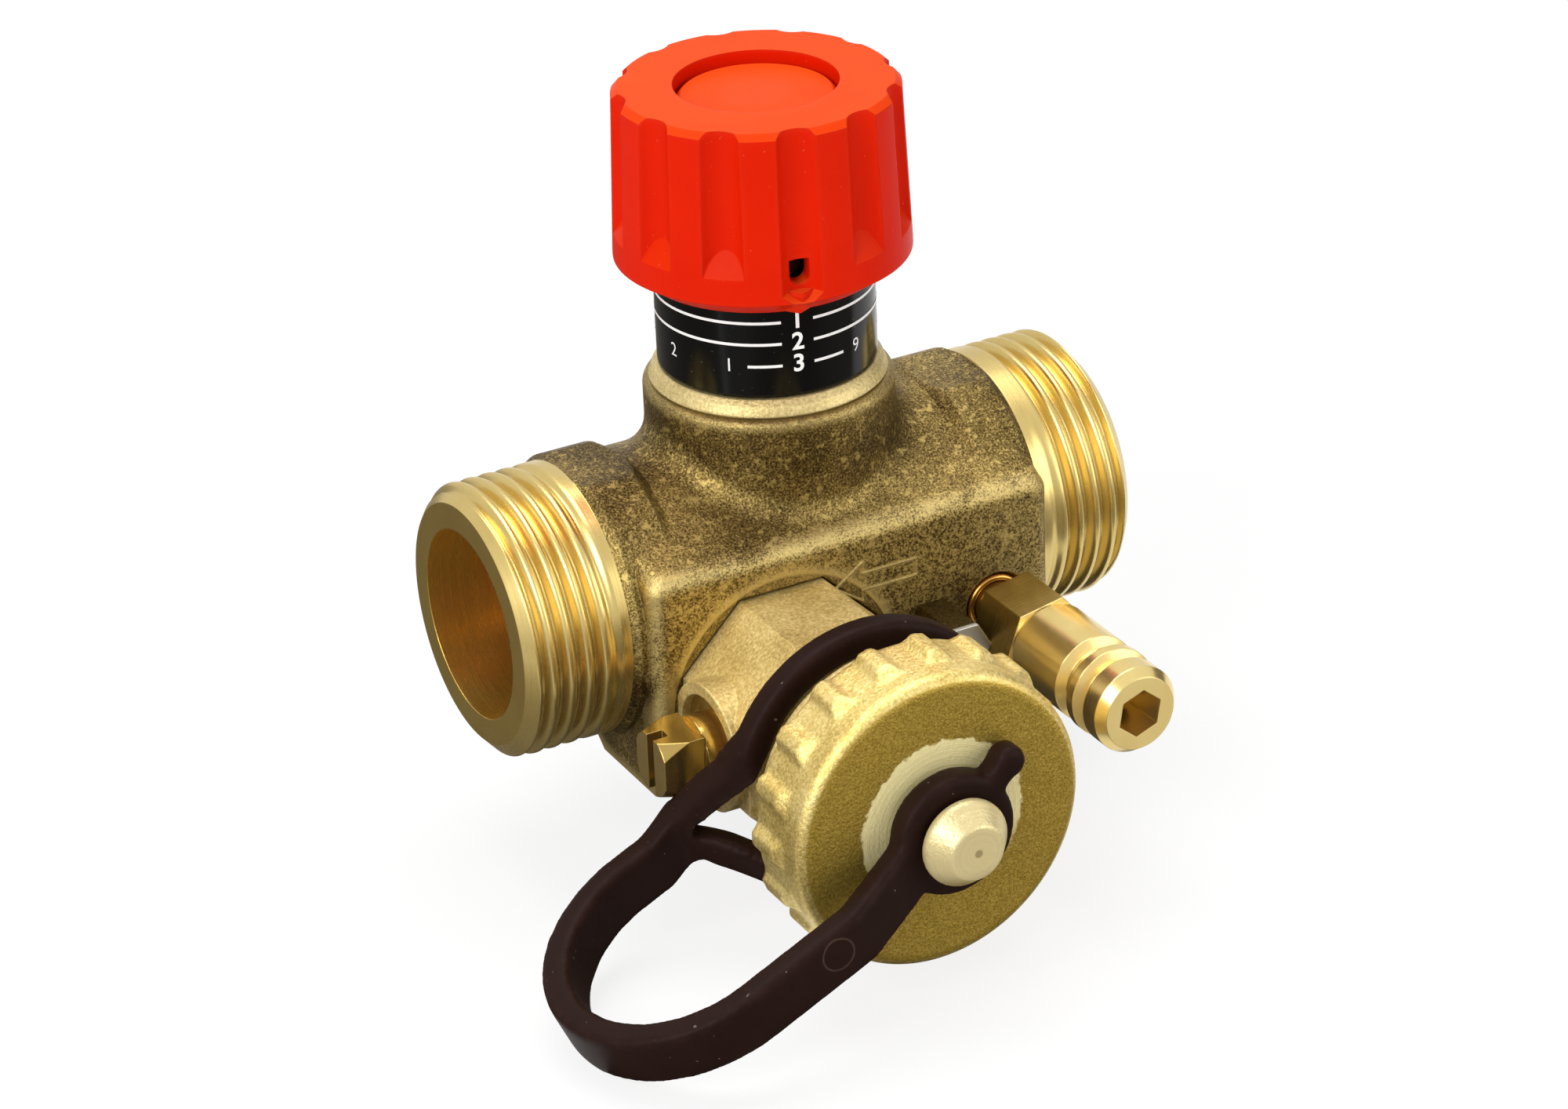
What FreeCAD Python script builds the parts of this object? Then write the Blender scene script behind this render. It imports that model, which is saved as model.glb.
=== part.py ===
import FreeCAD
import Part
import Sketcher
import os
import re

# Balancing valve with a drain cock and a test nipple, sizes in millimetres.
# Origin: centre of the outlet end face. +X runs to the inlet, +Z up the spindle, -Y to the drain.

SIZES = [
    # valve body, both ends G 3/4 male
    ("body_length", 65.0),
    ("thread_r", 13.22),
    ("thread_len", 10.4),
    ("thread_chamfer", 1.3),
    ("face_r", 11.7),
    ("bore_r", 9.2),
    ("neck_r", 13.7),
    ("neck_lead", 0.7),
    ("neck_cone", 1.2),
    ("neck_flat", 13.0),
    ("barrel_r", 12.8),
    ("block_gap_out", 1.3),
    ("block_gap_in", 0.3),
    ("block_front", 15.1),
    ("block_top", 6.6),
    ("block_bottom", 15.5),
    ("block_crest_y", 6.3),
    ("block_crest_z", 10.9),
    ("block_edge", 1.7),
    ("block_back", 2.0),
    ("block_back_rise", 4.0),
    ("block_foot_y", 3.0),
    ("boss_r", 11.9),
    ("boss_top", 17.9),
    ("boss_edge", 0.7),
    ("boss_root", 2.6),
    ("boss_root_gap", 1.0),
    ("bowl_r", 10.0),
    # flow passages and seat
    ("chamber_r", 9.0),
    ("seat_z", -1.0),
    ("seat_r", 5.5),
    ("seat_depth", 3.5),
    ("lower_r", 7.0),
    ("lower_floor", 12.0),
    ("upper_way_z", 4.2),
    ("upper_way_r", 4.5),
    ("lower_way_z", 7.5),
    ("lower_way_r", 4.2),
    ("bore_wall_out", 16.0),
    ("bore_wall_in", 12.5),
    # shared clearances
    ("thread_gap", 0.05),
    ("slide_gap", 0.05),
    ("free_gap", 0.3),
    ("fine_edge", 0.3),
    ("soft_edge", 0.6),
    ("thread_lead", 0.4),
    ("over", 1.0),
    # bonnet and scale
    ("bonnet_thread_r", 9.6),
    ("bonnet_foot", 10.8),
    ("flange_r", 11.3),
    ("flange_top", 19.6),
    ("bonnet_neck_r", 8.3),
    ("bonnet_top", 33.0),
    ("nut_r", 4.9),
    ("nut_top", 22.3),
    ("stem_bore_r", 3.75),
    ("scale_r", 10.4),
    ("scale_top", 34.0),
    ("ring_r", 0.75),
    ("ring_z", 13.2),
    # spindle and cone
    ("stem_ring_r", 0.5),
    ("stem_ring_low", 28.0),
    ("stem_ring_high", 30.6),
    ("spindle_foot", 5.8),
    ("spindle_foot_r", 3.0),
    ("spindle_thread_low", 10.6),
    ("spindle_thread_top", 19.6),
    ("spindle_top", 41.2),
    ("cone_r", 7.4),
    ("cone_low", 5.4),
    ("cone_top", 8.2),
    ("seal_thick", 1.4),
    # handle
    ("handle_r", 14.0),
    ("handle_top_r", 13.4),
    ("handle_low", 28.9),
    ("handle_low_r", 11.5),
    ("handle_belt", 30.6),
    ("handle_top", 47.0),
    ("handle_skin_r", 10.9),
    ("handle_roof", 41.2),
    ("hub_r", 6.2),
    ("hub_low", 38.4),
    ("cover_well_r", 7.7),
    ("cover_well_floor", 43.6),
    ("cover_r", 7.4),
    ("cover_top", 45.9),
    ("screw_head_r", 3.1),
    ("screw_head_len", 1.9),
    ("screw_r", 1.5),
    ("screw_len", 5.0),
    ("grip_cut_r", 2.1),
    ("grip_cut_at", 14.7),
    ("grip_flare", 0.25),
    ("grip_floor_low", 33.0),
    ("grip_floor_slope", 1.7),
    ("grip_count", 12),
    ("pointer_turn", -13.0),
    ("window_width", 1.9),
    ("window_low", 31.9),
    ("window_tall", 2.5),
    ("pointer_cut_low", 31.4),
    ("nose_half", 2.2),
    ("nose_proud", 0.7),
    ("nose_root", 1.0),
    ("nose_top", 32.6),
    # drain cock
    ("drain_x", -7.4),
    ("drain_z", -7.5),
    ("pocket_r", 11.8),
    ("pocket_floor", 11.5),
    ("octagon_r", 11.45),
    ("octagon_end", 27.2),
    ("spigot_r", 6.2),
    ("spigot_len", 4.0),
    ("drain_seal_r", 8.8),
    ("drain_seal_thick", 1.0),
    ("drain_way_r", 3.5),
    ("drain_bore_r", 4.6),
    ("drain_neck_r", 10.6),
    ("drain_thread_from", 33.4),
    ("drain_thread_r", 12.7),
    ("drain_end", 40.2),
    ("side_boss_r", 6.2),
    ("side_boss_x", 11.3),
    ("side_y", 20.6),
    ("plug_r", 5.0),
    ("plug_back", 7.0),
    ("plug_way_r", 3.4),
    ("plug_ring_r", 0.45),
    ("plug_ring_at", 9.2),
    ("key_side", 5.6),
    ("key_len", 4.3),
    ("key_neck_r", 3.4),
    ("key_neck_len", 1.5),
    ("key_slot", 1.3),
    ("key_slot_deep", 1.6),
    # cap
    ("cap_back", 35.8),
    ("cap_face", 43.9),
    ("cap_r", 14.5),
    ("cap_edge", 1.2),
    ("cap_roof", 1.9),
    ("cap_rib_proud", 0.75),
    ("cap_rib_width", 1.9),
    ("cap_rib_root", 0.6),
    ("cap_rib_len", 5.6),
    ("cap_rib_nose", 1.3),
    ("cap_rib_count", 18),
    ("cap_rib_turn", 2.0),
    ("gasket_thick", 1.7),
    ("stud_neck_r", 2.9),
    ("stud_head_r", 4.2),
    ("stud_neck_len", 3.4),
    ("stud_head_len", 0.9),
    ("stud_cone_len", 2.1),
    ("stud_end_r", 2.6),
    # strap
    ("strap_thick", 2.4),
    ("strap_width", 5.2),
    ("strap_ring_y", 30.4),
    ("strap_ring_in", 11.4),
    ("strap_ring_out", 14.0),
    ("strap_fork_in", 15.4),
    ("strap_fork_gap", 1.1),
    ("strap_fork_out", 16.4),
    ("strap_lift_from", 10.6),
    ("strap_lift_to", 17.2),
    ("strap_lift_skew", 0.5),
    ("strap_bend_s", 23.4),
    ("strap_bend_r", 12.6),
    ("strap_bend_back", 1.9),
    ("strap_knee_s", 12.5),
    ("strap_eye_in", 3.1),
    ("strap_eye_out", 5.8),
    ("strap_eye_flat", 4.6),
    ("strap_tail", 8.0),
    ("strap_tail_width", 2.2),
    ("strap_tail_turn", 20.0),
    ("strap_nub_r", 1.4),
    ("strap_fall", 24.5),
    # test nipple and port plug
    ("nipple_x", 15.6),
    ("nipple_z", -4.9),
    ("nipple_hole_r", 2.7),
    ("nipple_sink_r", 3.4),
    ("nipple_sink_deep", 1.2),
    ("nipple_ring_r", 0.33),
    ("nipple_neck_r", 2.3),
    ("nipple_hex_r", 4.75),
    ("nipple_hex_from", 18.2),
    ("nipple_hex_len", 6.4),
    ("nipple_body_r", 4.3),
    ("nipple_body_end", 33.2),
    ("nipple_groove_r", 3.4),
    ("nipple_bead_r", 4.4),
    ("nipple_collar_r", 4.3),
    ("nipple_end_r", 3.6),
    ("nipple_tip_len", 7.3),
    ("nipple_way_r", 1.2),
    ("nipple_key_r", 2.35),
    ("nipple_key_deep", 6.0),
    ("port_x", 8.4),
    ("port_z", -5.0),
    ("port_hex_r", 2.8),
    ("port_head_len", 6.4),
    ("port_shank_r", 1.5),
    ("port_shank_len", 3.6),
]

doc = FreeCAD.newDocument("balancing_valve")
sheet = doc.addObject("Spreadsheet::Sheet", "dims")
NAMES = []
for row, (name, value) in enumerate(SIZES, start=1):
    sheet.set("A%d" % row, name)
    sheet.set("B%d" % row, str(value))
    sheet.setAlias("B%d" % row, name)
    NAMES.append(name)
doc.recompute()

TURNS = {
    "z": FreeCAD.Rotation(),
    "x": FreeCAD.Rotation(FreeCAD.Vector(0, 1, 0), 90),
    "-x": FreeCAD.Rotation(FreeCAD.Vector(0, 1, 0), -90),
    "y": FreeCAD.Rotation(FreeCAD.Vector(1, 0, 0), -90),
    "-y": FreeCAD.Rotation(FreeCAD.Vector(1, 0, 0), 90),
}
NODES = []


def size(name):
    """Current value of a named size."""
    return float(sheet.get(name))


def bound(text):
    """A size formula with every name pointed at the sheet."""
    def point(match):
        word = match.group(0)
        return "dims." + word if word in NAMES else word
    return re.sub(r"[a-z][a-z0-9_]*", point, text)


def bind(item, key, text):
    item.setExpression(key, bound(text))


def place(item, at=("0", "0", "0"), axis="z"):
    """Puts an object at a bound position with its own Z along the named axis."""
    item.Placement = FreeCAD.Placement(FreeCAD.Vector(0, 0, 0), TURNS[axis])
    for key, text in zip("xyz", at):
        if text != "0":
            bind(item, "Placement.Base." + key, text)
    return item


def spun(item, angle_text):
    """Turns an object about Z by a bound angle."""
    item.Placement = FreeCAD.Placement(FreeCAD.Vector(), FreeCAD.Rotation(FreeCAD.Vector(0, 0, 1), 0))
    bind(item, "Placement.Rotation.Angle", angle_text)
    return item


def node(item, label):
    """Marks an object as a finished piece."""
    item.Label = label
    NODES.append(item)
    return item


def plane_of(body, role):
    for item in body.Origin.OriginFeatures:
        if item.Role == role:
            return item
    raise ValueError(role)


def sketch_on(body, role, name, lift="0"):
    sketch = doc.addObject("Sketcher::SketchObject", name)
    body.addObject(sketch)
    sketch.AttachmentSupport = [(plane_of(body, role), "")]
    sketch.MapMode = "FlatFace"
    if lift != "0":
        bind(sketch, "AttachmentOffset.Base.z", lift)
    return sketch


def hold(sketch, geo, pos, label, x_text, y_text):
    """Ties one sketch point to bound coordinates."""
    for kind, axis, text in (("DistanceX", -2, x_text), ("DistanceY", -1, y_text)):
        if text == "0":
            sketch.addConstraint(Sketcher.Constraint("PointOnObject", geo, pos, axis))
            continue
        spot = sketch.getPoint(geo, pos)
        now = spot.x if kind == "DistanceX" else spot.y
        index = sketch.addConstraint(Sketcher.Constraint(kind, -1, 1, geo, pos, now))
        sketch.renameConstraint(index, label + kind)
        bind(sketch, "Constraints." + label + kind, text)


def outline(sketch, points):
    """Closed outline of straight sides through bound points."""
    first = sketch.GeometryCount
    count = len(points)
    seeds = []
    for i in range(count):
        seeds.append(FreeCAD.Vector(4 + 3 * i, 6 + 2 * ((5 * i) % 7), 0))
    for i in range(count):
        sketch.addGeometry(Part.LineSegment(seeds[i], seeds[(i + 1) % count]), False)
    for i in range(count):
        after = first + (i + 1) % count
        sketch.addConstraint(Sketcher.Constraint("Coincident", first + i, 2, after, 1))
    for i in range(count):
        hold(sketch, first + i, 1, "p%d" % (first + i), points[i][0], points[i][1])


def feature(body, kind, name, **values):
    item = doc.addObject("PartDesign::" + kind, name)
    body.addObject(item)
    for key, value in values.items():
        setattr(item, key, value)
    return item


def turned(name, points):
    """Body of revolution about its own Z from (radius, height) points."""
    body = doc.addObject("PartDesign::Body", name)
    sketch = sketch_on(body, "XZ_Plane", name + "_profile")
    outline(sketch, points)
    turn = feature(body, "Revolution", name + "_turn", Profile=sketch)
    turn.ReferenceAxis = (sketch, ["V_Axis"])
    turn.Angle = 360
    doc.recompute()
    return body


def ring_edges(shape, rings):
    """Names of the circular edges with the given radius and height."""
    found = []
    for number, edge in enumerate(shape.Edges, start=1):
        curve = edge.Curve
        if not isinstance(curve, Part.Circle):
            continue
        for r, z in rings:
            if abs(curve.Radius - r) < 0.02 and abs(curve.Center.z - z) < 0.02:
                found.append("Edge%d" % number)
    return found


def eased(body, name, kind, text, rings):
    """Fillet or chamfer on the given rings of a turned body."""
    base = body.Tip
    item = feature(body, kind, name)
    item.Base = (base, ring_edges(base.Shape, rings))
    bind(item, "Radius" if kind == "Fillet" else "Size", text)
    doc.recompute()
    return item


def cylinder(name, r_text, len_text, at, axis="z"):
    item = doc.addObject("Part::Cylinder", name)
    bind(item, "Radius", r_text)
    bind(item, "Height", len_text)
    return place(item, at, axis)


def cone(name, r1_text, r2_text, len_text, at, axis="z"):
    item = doc.addObject("Part::Cone", name)
    bind(item, "Radius1", r1_text)
    bind(item, "Radius2", r2_text)
    bind(item, "Height", len_text)
    return place(item, at, axis)


def block(name, dx, dy, dz, at):
    item = doc.addObject("Part::Box", name)
    bind(item, "Length", dx)
    bind(item, "Width", dy)
    bind(item, "Height", dz)
    return place(item, at)


def prism(name, sides, r_text, len_text, at, axis="z", spin=0.0):
    item = doc.addObject("Part::Prism", name)
    item.Polygon = sides
    bind(item, "Circumradius", r_text)
    bind(item, "Height", len_text)
    place(item, at, axis)
    spun = FreeCAD.Rotation(FreeCAD.Vector(0, 0, 1), spin)
    base = item.Placement.Base
    item.Placement = FreeCAD.Placement(base, TURNS[axis].multiply(spun))
    for key, text in zip("xyz", at):
        if text != "0":
            bind(item, "Placement.Base." + key, text)
    return item


def ring(name, big_text, small_text, at, axis="z"):
    item = doc.addObject("Part::Torus", name)
    bind(item, "Radius1", big_text)
    bind(item, "Radius2", small_text)
    return place(item, at, axis)


def joined(name, items):
    item = doc.addObject("Part::MultiFuse", name)
    item.Shapes = items
    item.Refine = True
    return item


def common(name, items):
    item = doc.addObject("Part::MultiCommon", name)
    item.Shapes = items
    return item


def cut(name, base, tools):
    tool = tools[0] if len(tools) == 1 else joined(name + "_tools", tools)
    item = doc.addObject("Part::Cut", name)
    item.Base = base
    item.Tool = tool
    item.Refine = True
    return item


AXIS_X = "body_length / 2"
NECK_END = "(body_length / 2 - boss_r - boss_root - boss_root_gap - neck_cone)"
BLOCK_X = "(thread_len + block_gap_out)"
BLOCK_END = "(body_length - thread_len - block_gap_in)"
DRAIN_X = "body_length / 2 + drain_x"
NIPPLE_X = "body_length / 2 + nipple_x"
PORT_X = "body_length / 2 + port_x"
NIPPLE_END = "(nipple_body_end + nipple_tip_len)"
# how far each prism is turned about its own axis, in degrees
OCTAGON_TURN = 22.5
NIPPLE_HEX_TURN = 10.0
NIPPLE_KEY_TURN = 20.0

# Valve body: barrel with threaded ends and wrench flats.
barrel = turned("barrel", [
    ("0", "0"),
    ("face_r", "0"),
    ("thread_r", "thread_chamfer"),
    ("thread_r", "thread_len"),
    ("neck_r", "thread_len + neck_lead"),
    ("neck_r", NECK_END),
    ("barrel_r", NECK_END + " + neck_cone"),
    ("barrel_r", "body_length - neck_cone - " + NECK_END),
    ("neck_r", "body_length - " + NECK_END),
    ("neck_r", "body_length - thread_len - neck_lead"),
    ("thread_r", "body_length - thread_len"),
    ("thread_r", "body_length - thread_chamfer"),
    ("face_r", "body_length"),
    ("0", "body_length"),
])
place(barrel, axis="x")
FLAT_LEN = "body_length - 2 * thread_len"
flat_top = block("flat_top", FLAT_LEN, "2 * neck_r", "neck_r", ("thread_len", "-neck_r", "neck_flat"))
flat_low = block("flat_low", FLAT_LEN, "2 * neck_r", "neck_r",
                 ("thread_len", "-neck_r", "-neck_flat - neck_r"))
trunk = cut("trunk", barrel, [flat_top, flat_low])

# Front block with rounded front edges, its top sloping up to the barrel.
front = doc.addObject("PartDesign::Body", "front_block")
front_sketch = sketch_on(front, "YZ_Plane", "front_profile")
outline(front_sketch, [
    ("-block_front", "block_top"),
    ("-block_front", "-block_bottom"),
    ("-block_foot_y", "-block_bottom"),
    ("block_back", "-block_bottom + block_back_rise"),
    ("block_back", "block_crest_z - block_back_rise"),
    ("-block_crest_y", "block_crest_z"),
])
front_pad = feature(front, "Pad", "front_pad", Profile=front_sketch)
bind(front_pad, "Length", BLOCK_END + " - " + BLOCK_X)
doc.recompute()
front_edges = []
for number, edge in enumerate(front_pad.Shape.Edges, start=1):
    ends = [v.Point for v in edge.Vertexes]
    on_face = all(abs(p.y + size("block_front")) < 0.01 for p in ends)
    high = all(p.z > size("block_top") - 0.01 for p in ends)
    on_slope = high and abs(ends[0].y - ends[1].y) > size("block_edge")
    if on_face or (on_slope and max(p.y for p in ends) < 0):
        front_edges.append("Edge%d" % number)
front_round = feature(front, "Fillet", "front_round")
front_round.Base = (front_pad, front_edges)
bind(front_round, "Radius", "block_edge")
doc.recompute()
place(front, (BLOCK_X, "0", "0"))

boss = turned("boss", [
    ("0", "0"),
    ("boss_r", "0"),
    ("boss_r", "boss_top"),
    ("0", "boss_top"),
])
eased(boss, "boss_rim", "Fillet", "boss_edge", [(size("boss_r"), size("boss_top"))])
place(boss, (AXIS_X, "0", "0"))
bowl = cylinder("bowl", "bowl_r", "block_bottom", (AXIS_X, "0", "-block_bottom"))
casting = joined("casting", [trunk, front, boss, bowl])
doc.recompute()

# Root fillet where the boss meets the barrel and the block.
root_edges = []
for number, edge in enumerate(casting.Shape.Edges, start=1):
    if edge.Degenerated:
        continue
    first = edge.FirstParameter
    span = edge.LastParameter - first
    spots = [edge.valueAt(first + span * k / 6) for k in range(7)]
    reach = [((p.x - size("body_length") / 2) ** 2 + p.y ** 2) ** 0.5 for p in spots]
    on_boss = max(abs(r - size("boss_r")) for r in reach) < 0.02
    below_rim = max(p.z for p in spots) < size("boss_top") - 2 * size("boss_edge")
    if on_boss and below_rim and min(p.z for p in spots) > size("boss_edge"):
        root_edges.append((number, size("boss_root"), size("boss_root")))
blended = doc.addObject("Part::Fillet", "blended")
blended.Base = casting
blended.Edges = root_edges
doc.recompute()

ways = [
    cylinder("outlet_bore", "bore_r", "body_length / 2 - bore_wall_out", ("0", "0", "0"), "x"),
    cylinder("inlet_bore", "bore_r", "body_length / 2 - bore_wall_in",
             ("body_length / 2 + bore_wall_in", "0", "0"), "x"),
    cylinder("chamber", "chamber_r", "boss_top - seat_z", (AXIS_X, "0", "seat_z")),
    cylinder("bonnet_hole", "bonnet_thread_r", "boss_top - bonnet_foot + over",
             (AXIS_X, "0", "bonnet_foot - over")),
    cylinder("seat_hole", "seat_r", "seat_depth + over", (AXIS_X, "0", "seat_z - seat_depth")),
    cylinder("lower_chamber", "lower_r", "lower_floor + seat_z - seat_depth",
             (AXIS_X, "0", "-lower_floor")),
    cylinder("upper_way", "upper_way_r", "bore_wall_out + 2 * over",
             ("body_length / 2 - bore_wall_out - 2 * over", "0", "upper_way_z"), "x"),
    cylinder("lower_way", "lower_way_r", "bore_wall_in + 3 * over", (AXIS_X, "0", "-lower_way_z"), "x"),
    cylinder("drain_pocket", "pocket_r", "block_front - pocket_floor + 2 * over",
             (DRAIN_X, "-pocket_floor", "drain_z"), "-y"),
    cylinder("spigot_hole", "spigot_r + thread_gap", "spigot_len + over / 2",
             (DRAIN_X, "-pocket_floor + spigot_len", "drain_z"), "-y"),
    cylinder("drain_way", "drain_way_r", "pocket_floor", (DRAIN_X, "-over", "drain_z"), "-y"),
    cylinder("nipple_hole", "nipple_hole_r", "block_front", (NIPPLE_X, "-2 * over", "nipple_z"), "-y"),
    cone("nipple_sink", "nipple_hole_r", "nipple_sink_r", "nipple_sink_deep",
         (NIPPLE_X, "-block_front + nipple_sink_deep", "nipple_z"), "-y"),
    cylinder("port_hole", "port_shank_r + thread_gap", "port_shank_len + free_gap + over",
             (PORT_X, "-block_front + port_shank_len + free_gap", "port_z"), "-y"),
]
node(cut("valve_body", blended, ways), "valve_body")

# Bonnet, its O-ring, and the scale sleeve seated on the flange.
bonnet = turned("bonnet", [
    ("nut_r", "bonnet_foot"),
    ("bonnet_thread_r - thread_gap", "bonnet_foot"),
    ("bonnet_thread_r - thread_gap", "ring_z - ring_r"),
    ("bonnet_thread_r - 1.9 * ring_r", "ring_z - ring_r"),
    ("bonnet_thread_r - 1.9 * ring_r", "ring_z + ring_r"),
    ("bonnet_thread_r - thread_gap", "ring_z + ring_r"),
    ("bonnet_thread_r - thread_gap", "boss_top"),
    ("flange_r - fine_edge", "boss_top"),
    ("flange_r", "boss_top + fine_edge"),
    ("flange_r - 0.35", "flange_top - 0.55"),
    ("flange_r - 0.9", "flange_top"),
    ("bonnet_neck_r", "flange_top"),
    ("bonnet_neck_r", "bonnet_top - soft_edge"),
    ("bonnet_neck_r - soft_edge", "bonnet_top"),
    ("stem_bore_r", "bonnet_top"),
    ("stem_bore_r", "nut_top"),
    ("nut_r", "nut_top"),
])
node(place(bonnet, (AXIS_X, "0", "0")), "bonnet")
bonnet_ring = ring("bonnet_seal", "bonnet_thread_r - 0.95 * ring_r", "0.92 * ring_r",
                   (AXIS_X, "0", "ring_z"))
node(bonnet_ring, "bonnet_seal")
sleeve = turned("scale_sleeve", [
    ("bonnet_neck_r + thread_gap", "flange_top"),
    ("scale_r - thread_lead", "flange_top"),
    ("scale_r", "flange_top + thread_lead"),
    ("scale_r", "scale_top - soft_edge"),
    ("scale_r - soft_edge", "scale_top"),
    ("bonnet_neck_r + thread_gap", "scale_top"),
])
node(place(sleeve, (AXIS_X, "0", "0")), "scale_sleeve")

# Spindle with its two O-rings, cone and flat seal.
spindle = turned("spindle", [
    ("0", "spindle_foot"),
    ("spindle_foot_r", "spindle_foot"),
    ("spindle_foot_r", "spindle_thread_low"),
    ("nut_r - free_gap - thread_lead", "spindle_thread_low"),
    ("nut_r - free_gap", "spindle_thread_low + thread_lead"),
    ("nut_r - free_gap", "spindle_thread_top - thread_lead"),
    ("nut_r - free_gap - thread_lead", "spindle_thread_top"),
    ("stem_bore_r - slide_gap", "spindle_thread_top"),
    ("stem_bore_r - slide_gap", "stem_ring_low - stem_ring_r"),
    ("stem_bore_r - 2 * stem_ring_r", "stem_ring_low - stem_ring_r"),
    ("stem_bore_r - 2 * stem_ring_r", "stem_ring_low + stem_ring_r"),
    ("stem_bore_r - slide_gap", "stem_ring_low + stem_ring_r"),
    ("stem_bore_r - slide_gap", "stem_ring_high - stem_ring_r"),
    ("stem_bore_r - 2 * stem_ring_r", "stem_ring_high - stem_ring_r"),
    ("stem_bore_r - 2 * stem_ring_r", "stem_ring_high + stem_ring_r"),
    ("stem_bore_r - slide_gap", "stem_ring_high + stem_ring_r"),
    ("stem_bore_r - slide_gap", "spindle_top"),
    ("screw_r", "spindle_top"),
    ("screw_r", "spindle_top - screw_len - 0.5"),
    ("0", "spindle_top - screw_len - 1.2"),
])
node(place(spindle, (AXIS_X, "0", "0")), "spindle")
for label, height in (("stem_seal_low", "stem_ring_low"), ("stem_seal_high", "stem_ring_high")):
    stem_ring = ring(label, "stem_bore_r - slide_gap - 0.94 * stem_ring_r", "0.94 * stem_ring_r",
                     (AXIS_X, "0", height))
    node(stem_ring, label)
valve_cone = turned("valve_cone", [
    ("0", "cone_low"),
    ("cone_r - 0.5", "cone_low"),
    ("cone_r", "cone_low + 0.5"),
    ("cone_r", "cone_top - 1.2"),
    ("cone_r - 1.2", "cone_top"),
    ("spindle_foot_r + free_gap", "cone_top"),
    ("spindle_foot_r + free_gap", "spindle_foot - 0.05"),
    ("0", "spindle_foot - 0.05"),
])
node(place(valve_cone, (AXIS_X, "0", "0")), "valve_cone")
cone_seal = turned("cone_seal", [
    ("0", "cone_low - seal_thick"),
    ("cone_r - 2 * fine_edge", "cone_low - seal_thick"),
    ("cone_r - fine_edge", "cone_low - seal_thick + fine_edge"),
    ("cone_r - fine_edge", "cone_low"),
    ("0", "cone_low"),
])
node(place(cone_seal, (AXIS_X, "0", "0")), "cone_seal")

# Handle: turned shell, grip grooves, pointer window and nose.
shell = turned("handle_shell", [
    ("handle_skin_r", "handle_low"),
    ("handle_low_r", "handle_low"),
    ("handle_low_r + 0.3", "handle_low + 0.25"),
    ("handle_r", "handle_belt"),
    ("handle_r", "handle_belt + soft_edge"),
    ("handle_top_r", "handle_top - soft_edge"),
    ("handle_top_r - soft_edge", "handle_top"),
    ("cover_well_r", "handle_top"),
    ("cover_well_r", "cover_well_floor"),
    ("screw_r + 0.1", "cover_well_floor"),
    ("screw_r + 0.1", "spindle_top"),
    ("stem_bore_r - slide_gap", "spindle_top"),
    ("stem_bore_r - slide_gap", "hub_low"),
    ("hub_r", "hub_low"),
    ("hub_r", "handle_roof"),
    ("handle_skin_r", "handle_roof"),
])
doc.recompute()
grip = cone("grip_tool", "grip_cut_r", "grip_cut_r + grip_flare", "handle_top + over - handle_low",
            ("0", "-grip_cut_at", "handle_low"))
grips = []
for turn_number in range(int(size("grip_count"))):
    link = doc.addObject("Part::Compound", "grip_%d" % turn_number)
    link.Links = [grip]
    grips.append(spun(link, "%d * 360 / grip_count" % turn_number))
# each groove ends below on a floor that slopes down and out
grip_floor = turned("grip_floor", [
    ("handle_skin_r", "grip_floor_low + grip_floor_slope * (handle_r - handle_skin_r)"),
    ("handle_r + grip_cut_r", "grip_floor_low - grip_floor_slope * grip_cut_r"),
    ("handle_r + grip_cut_r", "handle_top + over"),
    ("handle_skin_r", "handle_top + over"),
])
grip_cuts = common("grip_cuts", [joined("grip_tools", grips), grip_floor])
low_grip = turned("pointer_grip", [
    ("0", "pointer_cut_low - grip_cut_r * 0.9"),
    ("grip_cut_r", "pointer_cut_low"),
    ("grip_cut_r + grip_flare", "handle_top + over"),
    ("0", "handle_top + over"),
])
place(low_grip, ("0", "-grip_cut_at", "0"))
window = joined("pointer_window", [
    block("window_upper", "window_width", "handle_r / 2", "window_tall - window_width / 2",
          ("-window_width / 2", "-handle_r - over", "window_low + window_width / 2")),
    cylinder("window_round", "window_width / 2", "handle_r / 2",
             ("0", "-handle_r / 2 - over", "window_low + window_width / 2"), "-y"),
])
nose = doc.addObject("PartDesign::Body", "pointer_nose")
nose_ends = []
for label, r_text, z_text in (("low", "handle_low_r", "handle_low"), ("high", "handle_r", "nose_top")):
    nose_sketch = sketch_on(nose, "XY_Plane", "nose_" + label, z_text)
    outline(nose_sketch, [
        ("-nose_half", "-%s + nose_root" % r_text),
        ("0", "-%s - nose_proud" % r_text),
        ("nose_half", "-%s + nose_root" % r_text),
    ])
    nose_ends.append(nose_sketch)
feature(nose, "AdditiveLoft", "nose_loft", Profile=nose_ends[0], Sections=[nose_ends[1]], Ruled=True)
doc.recompute()
nosed = joined("nosed", [shell, nose])
gripped = cut("gripped", nosed, [grip_cuts, low_grip])
skin = cylinder("skin_tool", "handle_skin_r", "handle_roof - handle_low + over",
                ("0", "0", "handle_low - over"))
hub_keep = cylinder("hub_keep", "hub_r", "handle_top - hub_low", ("0", "0", "hub_low"))
inside = cut("skin_ring", skin, [hub_keep])
handle = spun(cut("handle", gripped, [window, inside]), "pointer_turn")
bind(handle, "Placement.Base.x", AXIS_X)
node(handle, "handle")
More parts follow.
